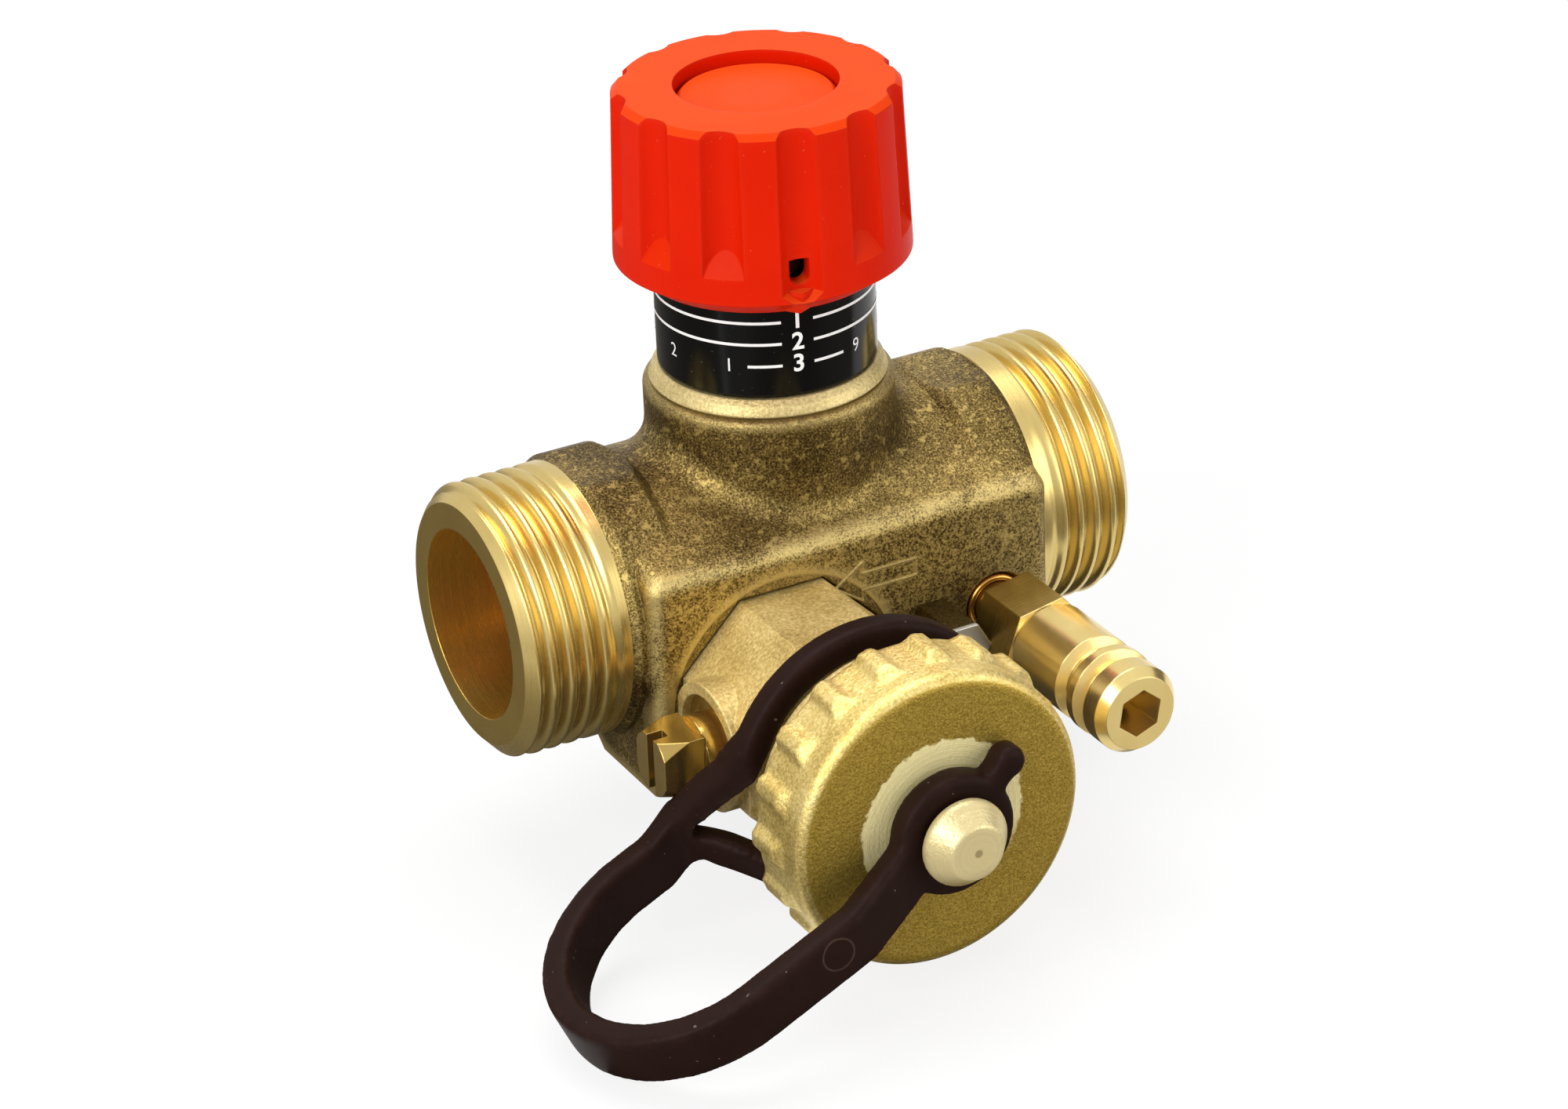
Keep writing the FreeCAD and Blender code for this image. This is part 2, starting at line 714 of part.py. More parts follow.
cover = turned("handle_cover", [
    ("0", "cover_well_floor + screw_head_len + 0.1"),
    ("screw_head_r + free_gap", "cover_well_floor + screw_head_len + 0.1"),
    ("screw_head_r + free_gap", "cover_well_floor"),
    ("cover_r", "cover_well_floor"),
    ("cover_r", "cover_top - 0.35"),
    ("cover_r - 0.35", "cover_top"),
    ("0", "cover_top"),
])
node(place(cover, (AXIS_X, "0", "0")), "handle_cover")
screw = turned("handle_screw", [
    ("0", "cover_well_floor - 2.4 - screw_len"),
    ("screw_r - 0.05", "cover_well_floor - 2.4 - screw_len"),
    ("screw_r - 0.05", "cover_well_floor"),
    ("screw_head_r", "cover_well_floor"),
    ("screw_head_r", "cover_well_floor + screw_head_len"),
    ("0", "cover_well_floor + screw_head_len"),
])
node(place(screw, (AXIS_X, "0", "0")), "handle_screw")

# Drain cock body: eight-sided, with a side boss for the spindle plug.
octagon = prism("octagon", 8, "octagon_r", "octagon_end - pocket_floor",
                (DRAIN_X, "-pocket_floor", "drain_z"), "-y", OCTAGON_TURN)
drain_parts = [
    octagon,
    cylinder("spigot", "spigot_r", "spigot_len + over",
             (DRAIN_X, "-pocket_floor + spigot_len", "drain_z"), "-y"),
    cylinder("drain_neck", "drain_neck_r", "drain_end - octagon_end",
             (DRAIN_X, "-octagon_end", "drain_z"), "-y"),
    cylinder("drain_thread", "drain_thread_r", "drain_end - drain_thread_from - 0.8",
             (DRAIN_X, "-drain_thread_from", "drain_z"), "-y"),
    cone("drain_lead", "drain_thread_r", "drain_thread_r - 0.8", "0.8",
         (DRAIN_X, "-drain_end + 0.8", "drain_z"), "-y"),
    cylinder("side_boss", "side_boss_r", "side_boss_x", (DRAIN_X, "-side_y", "drain_z"), "-x"),
]
drain_raw = joined("drain_raw", drain_parts)
SEAT = (DRAIN_X, "-pocket_floor", "drain_z")
drain_ways = [
    cylinder("drain_bore", "drain_bore_r", "drain_end + over",
             (DRAIN_X, "-pocket_floor + spigot_len + over", "drain_z"), "-y"),
    cylinder("plug_hole", "plug_r + slide_gap", "plug_back + side_boss_x + over",
             ("body_length / 2 + drain_x + plug_back", "-side_y", "drain_z"), "-x"),
    cut("drain_groove", cylinder("groove_out", "drain_seal_r", "drain_seal_thick", SEAT, "-y"),
        [cylinder("groove_in", "spigot_r + 0.8", "drain_seal_thick", SEAT, "-y")]),
]
node(cut("drain_body", drain_raw, drain_ways), "drain_body")
seal_out = cylinder("seal_out", "drain_seal_r - 0.1", "drain_seal_thick - 0.05", SEAT, "-y")
seal_in = cylinder("seal_in", "spigot_r + 0.9", "drain_seal_thick", SEAT, "-y")
drain_ring = cut("drain_seal", seal_out, [seal_in])
node(drain_ring, "drain_seal")

# Drain spindle: cross-bored plug, O-ring groove, neck and slotted square key.
plug = turned("drain_plug", [
    ("0", "-plug_back + free_gap"),
    ("plug_r - thread_lead", "-plug_back + free_gap"),
    ("plug_r", "-plug_back + free_gap + thread_lead"),
    ("plug_r", "plug_ring_at - plug_ring_r"),
    ("plug_r - 2 * plug_ring_r", "plug_ring_at - plug_ring_r"),
    ("plug_r - 2 * plug_ring_r", "plug_ring_at + plug_ring_r"),
    ("plug_r", "plug_ring_at + plug_ring_r"),
    ("plug_r", "side_boss_x - 0.9"),
    ("key_neck_r", "side_boss_x - 0.9"),
    ("key_neck_r", "side_boss_x + key_neck_len"),
    ("0", "side_boss_x + key_neck_len"),
])
place(plug, (DRAIN_X, "-side_y", "drain_z"), "-x")
key_raw = block("key_raw", "key_len", "key_side", "key_side",
                ("body_length / 2 + drain_x - side_boss_x - key_neck_len - key_len",
                 "-side_y - key_side / 2", "drain_z - key_side / 2"))
key_round = cone("key_round", "key_side * 0.71 + 0.6", "key_side * 0.56", "key_len + 0.4",
                 ("body_length / 2 + drain_x - side_boss_x - key_neck_len + 0.4", "-side_y", "drain_z"),
                 "-x")
key = common("key", [key_raw, key_round])
spindle_raw = joined("drain_spindle_raw", [plug, key])
slot = block("key_slot_tool", "key_slot_deep + over", "key_slot", "2 * key_side",
             ("body_length / 2 + drain_x - side_boss_x - key_neck_len - key_len - over",
              "-side_y - key_slot / 2", "drain_z - key_side"))
cross = cylinder("plug_way", "plug_way_r", "3 * plug_r",
                 (DRAIN_X, "-side_y", "drain_z - 1.5 * plug_r"))
node(cut("drain_spindle", spindle_raw, [slot, cross]), "drain_spindle")
plug_ring = ring("drain_spindle_seal", "plug_r - 0.96 * plug_ring_r", "0.96 * plug_ring_r",
                 ("body_length / 2 + drain_x - plug_ring_at", "-side_y", "drain_z"), "-x")
node(plug_ring, "drain_spindle_seal")

# Drain cap with ribs and stud, and its gasket.
cap = turned("cap_turned", [
    ("drain_thread_r + free_gap", "cap_back"),
    ("cap_r - fine_edge", "cap_back"),
    ("cap_r", "cap_back + fine_edge"),
    ("cap_r", "cap_face"),
    ("stud_neck_r", "cap_face"),
    ("stud_neck_r", "cap_face + stud_neck_len"),
    ("stud_head_r - 0.25", "cap_face + stud_neck_len"),
    ("stud_head_r", "cap_face + stud_neck_len + 0.25"),
    ("stud_head_r", "cap_face + stud_neck_len + stud_head_len"),
    ("stud_end_r", "cap_face + stud_neck_len + stud_head_len + stud_cone_len"),
    ("0", "cap_face + stud_neck_len + stud_head_len + stud_cone_len"),
    ("0", "cap_face - cap_roof"),
    ("drain_thread_r + free_gap", "cap_face - cap_roof"),
])
eased(cap, "cap_rim", "Fillet", "cap_edge", [(size("cap_r"), size("cap_face"))])
rib = doc.addObject("PartDesign::Body", "cap_rib")
rib_sketch = sketch_on(rib, "XY_Plane", "rib_profile", "cap_back + 0.4")
outline(rib_sketch, [
    ("cap_r - cap_rib_root", "-cap_rib_width"),
    ("cap_r + cap_rib_proud", "-cap_rib_width / 3"),
    ("cap_r + cap_rib_proud", "cap_rib_width / 3"),
    ("cap_r - cap_rib_root", "cap_rib_width"),
])
rib_pad = feature(rib, "Pad", "rib_pad", Profile=rib_sketch)
bind(rib_pad, "Length", "cap_rib_len")
doc.recompute()
ribs = []
for rib_number in range(int(size("cap_rib_count"))):
    link = doc.addObject("Part::Compound", "rib_%d" % rib_number)
    link.Links = [rib]
    ribs.append(spun(link, "cap_rib_turn + %d * 360 / cap_rib_count" % rib_number))
# the ribs fade out before the rim
rib_limit = turned("rib_limit", [
    ("cap_r - 2 * cap_rib_root", "cap_back"),
    ("cap_r + 2 * cap_rib_proud", "cap_back"),
    ("cap_r + 2 * cap_rib_proud", "cap_back + cap_rib_len - 2 * cap_rib_nose"),
    ("cap_r - 2 * cap_rib_root", "cap_back + cap_rib_len + cap_rib_nose"),
])
rib_ring = common("rib_ring", [joined("rib_bars", ribs), rib_limit])
drain_cap = joined("drain_cap", [cap, rib_ring])
node(place(drain_cap, (DRAIN_X, "0", "drain_z"), "-y"), "drain_cap")
gasket = turned("cap_gasket", [
    ("drain_bore_r + 0.6", "cap_face - cap_roof - gasket_thick"),
    ("drain_thread_r", "cap_face - cap_roof - gasket_thick"),
    ("drain_thread_r", "cap_face - cap_roof - slide_gap"),
    ("drain_bore_r + 0.6", "cap_face - cap_roof - slide_gap"),
])
node(place(gasket, (DRAIN_X, "0", "drain_z"), "-y"), "cap_gasket")

# Strap in its own frame: X outward along the band, Z away from the valve, then turned into place.
EYE_Z = "(cap_face + stud_neck_len / 2)"
BEND_Z = "((cap_face + stud_neck_len / 2 + strap_ring_y) / 2 - strap_bend_back)"
LOOP_LOW = "(" + BEND_Z + " - strap_bend_r)"
LOOP_HIGH = "(" + BEND_Z + " + strap_bend_r)"
HALF = "strap_thick / 2"
STRAP_TALL = "2 * strap_bend_r"


def plan_piece(name, points):
    """Upright prism over a shape of the flat strap."""
    body = doc.addObject("PartDesign::Body", name)
    sketch = sketch_on(body, "XY_Plane", name + "_outline", LOOP_LOW + " - strap_thick")
    outline(sketch, points)
    pad = feature(body, "Pad", name + "_pad", Profile=sketch)
    bind(pad, "Length", STRAP_TALL + " + 2 * strap_thick")
    doc.recompute()
    return body


def plan_round(name, r_text, at_text="0", across_text="0"):
    """Upright cylinder over a round of the flat strap."""
    return cylinder(name, r_text, STRAP_TALL + " + 2 * strap_thick",
                    (at_text, across_text, LOOP_LOW + " - strap_thick"))


def ribbon(name, points):
    """Side shape of the strap, drawn out across it."""
    body = doc.addObject("PartDesign::Body", name)
    sketch = sketch_on(body, "XZ_Plane", name + "_outline")
    outline(sketch, points)
    pad = feature(body, "Pad", name + "_pad", Profile=sketch, Midplane=True)
    bind(pad, "Length", "2 * strap_ring_out + strap_width")
    doc.recompute()
    return body


back_side = ribbon("strap_back", [
    ("-strap_ring_out - strap_thick", "strap_ring_y - " + HALF),
    ("strap_lift_from - strap_lift_skew", "strap_ring_y - " + HALF),
    ("strap_lift_to - strap_lift_skew", LOOP_LOW + " - " + HALF),
    ("strap_bend_s", LOOP_LOW + " - " + HALF),
    ("strap_bend_s", LOOP_LOW + " + " + HALF),
    ("strap_lift_to + strap_lift_skew", LOOP_LOW + " + " + HALF),
    ("strap_lift_from + strap_lift_skew", "strap_ring_y + " + HALF),
    ("-strap_ring_out - strap_thick", "strap_ring_y + " + HALF),
])
front_side = ribbon("strap_front", [
    ("-strap_tail - strap_width", EYE_Z + " - " + HALF),
    ("strap_eye_flat", EYE_Z + " - " + HALF),
    ("strap_knee_s", LOOP_HIGH + " - " + HALF),
    ("strap_bend_s", LOOP_HIGH + " - " + HALF),
    ("strap_bend_s", LOOP_HIGH + " + " + HALF),
    ("strap_knee_s", LOOP_HIGH + " + " + HALF),
    ("strap_eye_flat", EYE_Z + " + " + HALF),
    ("-strap_tail - strap_width", EYE_Z + " + " + HALF),
])
web = plan_piece("strap_web", [
    ("0", "-strap_ring_out * 0.6"),
    ("strap_ring_out * 0.435", "-strap_ring_out * 0.9"),
    ("strap_fork_out", "-strap_width / 2"),
    ("strap_bend_s", "-strap_width / 2"),
    ("strap_bend_s", "strap_width / 2"),
    ("strap_fork_out", "strap_width / 2"),
    ("strap_ring_out * 0.435", "strap_ring_out * 0.9"),
    ("0", "strap_ring_out * 0.6"),
])
gap = plan_piece("strap_gap", [
    ("0", "-strap_ring_in * 0.6"),
    ("strap_ring_in * 0.584", "-strap_ring_in * 0.812"),
    ("strap_fork_in", "-strap_fork_gap"),
    ("strap_fork_in", "strap_fork_gap"),
    ("strap_ring_in * 0.584", "strap_ring_in * 0.812"),
    ("0", "strap_ring_in * 0.6"),
])
back_flat = joined("strap_back_flat", [web, plan_round("strap_ring", "strap_ring_out")])
back_plan = cut("strap_back_plan", back_flat, [
    gap,
    plan_round("strap_ring_hole", "strap_ring_in"),
    plan_round("strap_gap_end", "strap_fork_gap", "strap_fork_in"),
])
leg = plan_piece("strap_leg", [
    ("0", "-strap_width / 2"),
    ("strap_bend_s", "-strap_width / 2"),
    ("strap_bend_s", "strap_width / 2"),
    ("0", "strap_width / 2"),
])
tail_bar = plan_piece("strap_tail_bar", [
    ("0", "-strap_tail_width / 2"),
    ("-strap_tail", "-strap_tail_width / 2"),
    ("-strap_tail", "strap_tail_width / 2"),
    ("0", "strap_tail_width / 2"),
])
tail = joined("strap_tail_piece", [tail_bar, plan_round("strap_nub", "strap_nub_r", "-strap_tail")])
front_flat = joined("strap_front_flat", [
    leg,
    plan_round("strap_eye", "strap_eye_out"),
    spun(tail, "strap_tail_turn"),
])
front_plan = cut("strap_front_plan", front_flat, [plan_round("strap_eye_hole", "strap_eye_in")])
bend_out = cylinder("bend_out", "strap_bend_r + " + HALF, "strap_width",
                    ("strap_bend_s", "-strap_width / 2", BEND_Z), "y")
bend_in = cylinder("bend_in", "strap_bend_r - " + HALF, "strap_width",
                   ("strap_bend_s", "-strap_width / 2", BEND_Z), "y")
bend_keep = block("bend_keep", "2 * strap_bend_r", "strap_width", "4 * strap_bend_r",
                  ("strap_bend_s", "-strap_width / 2", BEND_Z + " - 2 * strap_bend_r"))
bend = common("strap_bend", [cut("bend_tube", bend_out, [bend_in]), bend_keep])
strap_whole = joined("strap_whole", [
    common("strap_back_part", [back_side, back_plan]),
    bend,
    common("strap_front_part", [front_side, front_plan]),
])
strap = doc.addObject("Part::Compound", "cap_strap")
strap.Links = [spun(strap_whole, "180 + strap_fall")]
node(place(strap, (DRAIN_X, "0", "drain_z"), "-y"), "cap_strap")

# Test nipple with its O-ring, and the small port plug beside it.
nipple_turned = turned("nipple_turned", [
    ("nipple_way_r", "block_front - 4"),
    ("nipple_hole_r - thread_gap", "block_front - 4"),
    ("nipple_hole_r - thread_gap", "block_front - 1.5"),
    ("nipple_neck_r", "block_front - 1.5"),
    ("nipple_neck_r", "nipple_hex_from"),
    ("nipple_groove_r", "nipple_hex_from"),
    ("nipple_groove_r", "nipple_hex_from + nipple_hex_len"),
    ("nipple_body_r - 0.2", "nipple_hex_from + nipple_hex_len"),
    ("nipple_body_r", "nipple_hex_from + nipple_hex_len + 0.5"),
    ("nipple_body_r", "nipple_body_end - 0.6"),
    ("nipple_groove_r", "nipple_body_end"),
    ("nipple_groove_r", "nipple_body_end + 1.0"),
    ("nipple_bead_r", "nipple_body_end + 1.6"),
    ("nipple_bead_r", "nipple_body_end + 2.6"),
    ("nipple_groove_r", "nipple_body_end + 3.2"),
    ("nipple_groove_r", "nipple_body_end + 3.9"),
    ("nipple_collar_r", "nipple_body_end + 4.3"),
    ("nipple_collar_r", NIPPLE_END + " - 1.0"),
    ("nipple_end_r", NIPPLE_END),
    ("nipple_way_r", NIPPLE_END),
])
place(nipple_turned, (NIPPLE_X, "0", "nipple_z"), "-y")
nipple_hex = prism("nipple_hex", 6, "nipple_hex_r", "nipple_hex_len",
                   (NIPPLE_X, "-nipple_hex_from", "nipple_z"), "-y", NIPPLE_HEX_TURN)
nipple_raw = joined("nipple_raw", [nipple_turned, nipple_hex])
nipple_key = prism("nipple_key", 6, "nipple_key_r", "nipple_key_deep",
                   (NIPPLE_X, "nipple_key_deep - " + NIPPLE_END, "nipple_z"), "-y", NIPPLE_KEY_TURN)
nipple_drill = cylinder("nipple_drill", "nipple_way_r", NIPPLE_END,
                        (NIPPLE_X, "-nipple_hex_from / 2", "nipple_z"), "-y")
node(cut("test_nipple", nipple_raw, [nipple_key, nipple_drill]), "test_nipple")
nipple_ring = ring("nipple_seal", "nipple_neck_r + 1.06 * nipple_ring_r", "nipple_ring_r",
                   (NIPPLE_X, "-block_front + nipple_ring_r", "nipple_z"), "-y")
node(nipple_ring, "nipple_seal")
port_head = prism("port_head", 6, "port_hex_r", "port_head_len",
                  (PORT_X, "-block_front", "port_z"), "-y")
port_shank = cylinder("port_shank", "port_shank_r", "port_shank_len + 0.5",
                      (PORT_X, "-block_front + port_shank_len", "port_z"), "-y")
node(joined("port_plug", [port_head, port_shank]), "port_plug")

doc.recompute()
for item in doc.Objects:
    if "Invalid" in item.State or "Error" in item.State:
        raise RuntimeError("%s: %s" % (item.Name, item.State))
os.makedirs("parts", exist_ok=True)
for item in NODES:
    shape = item.Shape
    if shape.isNull() or not shape.isValid():
        raise RuntimeError("%s has no valid shape" % item.Label)
    if len(shape.Solids) != 1:
        raise RuntimeError("%s has %d solids" % (item.Label, len(shape.Solids)))
    shape.exportStep("parts/" + item.Label + ".step")
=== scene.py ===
import math

import bmesh
import bpy
import numpy as np
from mathutils import Matrix, Vector


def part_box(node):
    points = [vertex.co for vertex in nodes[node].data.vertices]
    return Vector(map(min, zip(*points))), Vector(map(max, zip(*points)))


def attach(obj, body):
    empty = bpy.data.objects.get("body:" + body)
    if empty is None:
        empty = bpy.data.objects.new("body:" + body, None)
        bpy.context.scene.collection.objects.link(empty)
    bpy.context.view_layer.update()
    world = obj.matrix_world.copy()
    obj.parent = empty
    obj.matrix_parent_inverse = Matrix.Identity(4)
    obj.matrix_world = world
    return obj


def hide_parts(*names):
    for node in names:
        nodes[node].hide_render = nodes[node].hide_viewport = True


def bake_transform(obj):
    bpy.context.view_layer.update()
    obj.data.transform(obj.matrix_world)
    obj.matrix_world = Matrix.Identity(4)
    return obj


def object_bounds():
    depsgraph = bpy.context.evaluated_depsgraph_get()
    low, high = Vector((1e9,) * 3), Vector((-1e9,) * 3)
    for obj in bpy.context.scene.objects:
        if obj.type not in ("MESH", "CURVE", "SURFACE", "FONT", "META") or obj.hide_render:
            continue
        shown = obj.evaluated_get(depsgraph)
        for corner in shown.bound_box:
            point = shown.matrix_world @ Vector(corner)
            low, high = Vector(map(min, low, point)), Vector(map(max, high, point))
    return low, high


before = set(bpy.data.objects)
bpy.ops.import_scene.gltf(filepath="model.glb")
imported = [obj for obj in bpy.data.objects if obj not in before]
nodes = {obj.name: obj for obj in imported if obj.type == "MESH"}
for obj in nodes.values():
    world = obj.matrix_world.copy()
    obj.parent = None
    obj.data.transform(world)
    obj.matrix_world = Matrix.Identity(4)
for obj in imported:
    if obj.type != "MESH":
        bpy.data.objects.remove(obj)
cad_low, cad_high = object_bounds()
MM = 0.001

# Places and sizes that the pieces share, in metres, in the frame of the solids.
BODY_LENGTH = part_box("valve_body")[1].x
SPINDLE_X = BODY_LENGTH / 2
DRAIN_AXIS = Vector((25.1, 0.0, -7.5)) * MM
NIPPLE_AXIS = Vector((48.1, 0.0, -4.9)) * MM
BLOCK_FRONT_Y = -15.1 * MM
POCKET_R = 11.85 * MM
OCTAGON_R = 11.45 * MM
CAP_FACE = 43.9 * MM
CAP_RIB_ROOT_R = 13.3 * MM
STUD_END = 50.3 * MM
STUD_DOT_R = 0.32 * MM
SCUFF_R = 8.1 * MM
STRAP_MARK = DRAIN_AXIS + Vector((-14.2, 0.0, -5.8)) * MM
STRAP_MARK_R = 1.55 * MM
NIPPLE_HOLE_R = 3.6 * MM
HEXAGON_END = 24.4 * MM
PORT_END = 21.2 * MM
THREAD_R = 13.22 * MM
THREAD_END = 10.4 * MM
FACE_R = 11.7 * MM
CHAMFER_LENGTH = 1.3 * MM
PITCH = 1.814 * MM
BORE_R = 9.2 * MM
SCALE_R = 10.4 * MM
FLOOR_Z = cad_low.z - 0.1 * MM
POINTER_ANGLE = math.radians(-11.6)


# Shader graphs


class Tree:
    """The nodes of a material or a world, built with short calls."""

    def __init__(self, owner):
        owner.use_nodes = True
        self.tree = owner.node_tree
        self.tree.nodes.clear()

    def add(self, kind, inputs=None, **settings):
        """A node with settings, and with values or links on its inputs."""
        node = self.tree.nodes.new(kind)
        for key, value in settings.items():
            setattr(node, key, value)
        for key, value in (inputs or {}).items():
            self.feed(node.inputs[key], value)
        return node

    def feed(self, socket, value):
        """Links an input to an output, or gives it a value."""
        if isinstance(value, bpy.types.NodeSocket):
            self.tree.links.new(value, socket)
        else:
            socket.default_value = value

    def math(self, operation, a, b=0.0):
        return self.add("ShaderNodeMath", {0: a, 1: b}, operation=operation).outputs[0]

    def times(self, a, b):
        return self.math("MULTIPLY", a, b)

    def inverse(self, value):
        """0 for 1 and 1 for 0."""
        return self.math("SUBTRACT", 1.0, value)


class Graph(Tree):
    """A material round one Principled shader, with patterns placed in the frame."""

    def __init__(self, name):
        self.material = bpy.data.materials.new(name)
        super().__init__(self.material)
        self.shader = self.add("ShaderNodeBsdfPrincipled")
        self.add("ShaderNodeOutputMaterial", {"Surface": self.shader.outputs[0]})
        self.place = self.add("ShaderNodeTexCoord").outputs["Object"]

    def surface(self, **inputs):
        """Sets inputs of the shader, named with _ for each space."""
        for key, value in inputs.items():
            self.feed(self.shader.inputs[key.replace("_", " ")], value)

    def noise(self, scale, detail, roughness=0.5, place=None):
        inputs = {"Vector": place or self.place, "Scale": scale, "Detail": detail, "Roughness": roughness}
        return self.add("ShaderNodeTexNoise", inputs).outputs["Fac"]

    def ramp(self, value, stops):
        """The colour of a value between colours at stops."""
        node = self.add("ShaderNodeValToRGB", {"Fac": value})
        elements = node.color_ramp.elements
        while len(elements) < len(stops):
            elements.new(0.5)
        for element, (at, colour) in zip(elements, stops):
            element.position = at
            element.color = (*colour, 1.0)
        return node.outputs["Color"]

    def between(self, value, low, high):
        """0 below low, 1 above high, smooth in between."""
        node = self.add("ShaderNodeMapRange", {"Value": value, "From Min": low, "From Max": high})
        node.interpolation_type = "SMOOTHSTEP"
        return node.outputs["Result"]

    def span(self, value, low, high):
        """A noise value spread over a range."""
        node = self.add("ShaderNodeMapRange", {"Value": value, "To Min": low, "To Max": high})
        return node.outputs["Result"]

    def mix(self, share, first, second):
        """The first colour, with a share of the second laid over it."""
        node = self.add("ShaderNodeMix", data_type="RGBA")
        self.feed(node.inputs[0], share)
        for socket, value in ((node.inputs[6], first), (node.inputs[7], second)):
            self.feed(socket, (*value, 1.0) if isinstance(value, tuple) else value)
        return node.outputs[2]

    def shut_in(self, distance, inside):
        """How much the surroundings, or the solid's own inside, are closed in within a distance."""
        node = self.add("ShaderNodeAmbientOcclusion", {"Distance": distance}, samples=8, inside=inside)
        return self.inverse(node.outputs["AO"])

    def edges(self, distance):
        """1 on outer edges and corners, 0 on flats."""
        return self.shut_in(distance, True)

    def hollows(self, distance):
        """1 deep in corners and gaps, 0 in the open."""
        return self.shut_in(distance, False)

    def bump(self, height, depth, strength, edge=0.0):
        """Normals for a height, over edges that are rounded by a radius."""
        inputs = {"Height": height, "Distance": depth, "Strength": strength}
        if edge:
            inputs["Normal"] = self.add("ShaderNodeBevel", {"Radius": edge}, samples=6).outputs["Normal"]
        return self.add("ShaderNodeBump", inputs).outputs["Normal"]

    def apart(self, vector=None):
        """The three parts of a vector, or of the place."""
        return self.add("ShaderNodeSeparateXYZ", {"Vector": vector or self.place}).outputs

    def facing(self):
        """The three parts of the surface's normal."""
        return self.apart(self.add("ShaderNodeNewGeometry").outputs["Normal"])

    def out(self):
        """Distance in front of the flow axis."""
        return self.times(self.apart()[1], -1.0)

    def radius(self, centre):
        """Distance from a line along Y through the centre."""
        shifted = self.add("ShaderNodeVectorMath", {0: self.place, 1: tuple(centre)}, operation="SUBTRACT")
        x, _, z = self.apart(shifted.outputs[0])
        squares = self.math("ADD", self.times(x, x), self.times(z, z))
        return self.math("SQRT", squares)

    def stretched(self, scale):
        """Coordinates scaled unevenly, for streaks."""
        node = self.add("ShaderNodeVectorMath", {0: self.place, 1: scale}, operation="MULTIPLY")
        return node.outputs[0]


def cast_brass(name, wear_and_painted_light):
    """Blasted casting: fine dark brown grain, sparse golden flecks, edges worn bright, a painted highlight on
    faces near the front that look up or to the left, painted light on faces that look to the front, and
    painted shade in hollows. A share scales the wear, the highlight and the painted light.
    """
    g = Graph(name)
    patches = g.noise(95.0, 4.0, 0.55)
    flecks = g.noise(1150.0, 3.0, 0.65)
    grain = g.noise(5200.0, 3.0, 0.70)
    shade = g.math("ADD", g.times(patches, 0.45), g.times(grain, 0.90))
    colour = g.ramp(shade, [
        (0.54, (0.034, 0.0205, 0.0052)),
        (0.63, (0.112, 0.071, 0.0190)),
        (0.71, (0.205, 0.140, 0.0400)),
        (0.81, (0.460, 0.330, 0.1050)),
    ])
    fleck = g.times(g.between(flecks, 0.555, 0.67), g.span(patches, 0.3, 1.2))
    colour = g.mix(g.times(fleck, 0.85), colour, (0.58, 0.430, 0.140))
    rub = g.times(g.edges(1.9 * MM), g.span(grain, 0.45, 1.55))
    # Painted highlight: near the front, faces that look up or to the left turn bright gold in patches.
    facing = g.facing()
    tilt = g.math("MAXIMUM", facing[2], g.times(facing[0], -1.0))
    block_front = -BLOCK_FRONT_Y
    front = g.between(g.out(), block_front - 2.2 * MM, block_front - 0.6 * MM)
    painted_highlight_band = g.times(g.between(tilt, 0.25, 0.65), front)
    patchy = g.math("ADD", g.times(grain, 0.7), patches)
    painted_highlight_band = g.times(painted_highlight_band, g.between(patchy, 0.72, 1.02))
    # worn holds both the real edge wear and the painted highlight.
    worn = g.times(g.math("MAXIMUM", g.between(rub, 0.14, 0.38), painted_highlight_band), wear_and_painted_light)
    # Painted light: faces near the front that look forward are lightened to gold in a grain pattern.
    forward = g.times(g.between(g.times(facing[1], -1.0), 0.70, 0.98), front)
    front_painted_light = g.times(g.times(forward, g.between(grain, 0.42, 0.64)), wear_and_painted_light)
    colour = g.mix(g.times(front_painted_light, 0.60), colour, (0.56, 0.415, 0.140))
    colour = g.mix(g.times(worn, 0.85), colour, (0.66, 0.51, 0.200))
    # Painted shade: darker in corners and gaps.
    colour = g.mix(g.times(g.hollows(4.0 * MM), 0.30), colour, (0.030, 0.020, 0.007))
    height = g.math("ADD", g.times(grain, 0.7), g.times(flecks, 0.6))
    normal = g.bump(height, 0.10 * MM, 0.75, edge=0.35 * MM)
    g.surface(Base_Color=colour, Metallic=0.90, Roughness=g.span(grain, 0.36, 0.58), Normal=normal)
    return g.material


def blasted_brass(name, dark, middle, light, edge_colour):
    """Cleaner blasted brass with an even fine grain."""
    g = Graph(name)
    clouds = g.noise(160.0, 3.0, 0.55)
    grain = g.noise(3000.0, 3.0, 0.7)
    shade = g.math("ADD", g.times(clouds, 0.45), g.times(grain, 0.70))
    colour = g.ramp(shade, [(0.42, dark), (0.58, middle), (0.74, light)])
    worn = g.between(g.times(g.edges(0.9 * MM), g.span(grain, 0.6, 1.5)), 0.40, 0.75)
    colour = g.mix(worn, colour, edge_colour)
    # Painted shade: darker in corners and gaps.
    colour = g.mix(g.times(g.hollows(2.0 * MM), 0.45), colour, tuple(c * 0.25 for c in dark))
    normal = g.bump(grain, 0.09 * MM, 0.8, edge=0.35 * MM)
    g.surface(Base_Color=colour, Metallic=0.60, Roughness=g.span(grain, 0.36, 0.54), Normal=normal)
    g.surface(Specular_IOR_Level=0.2)
    return g


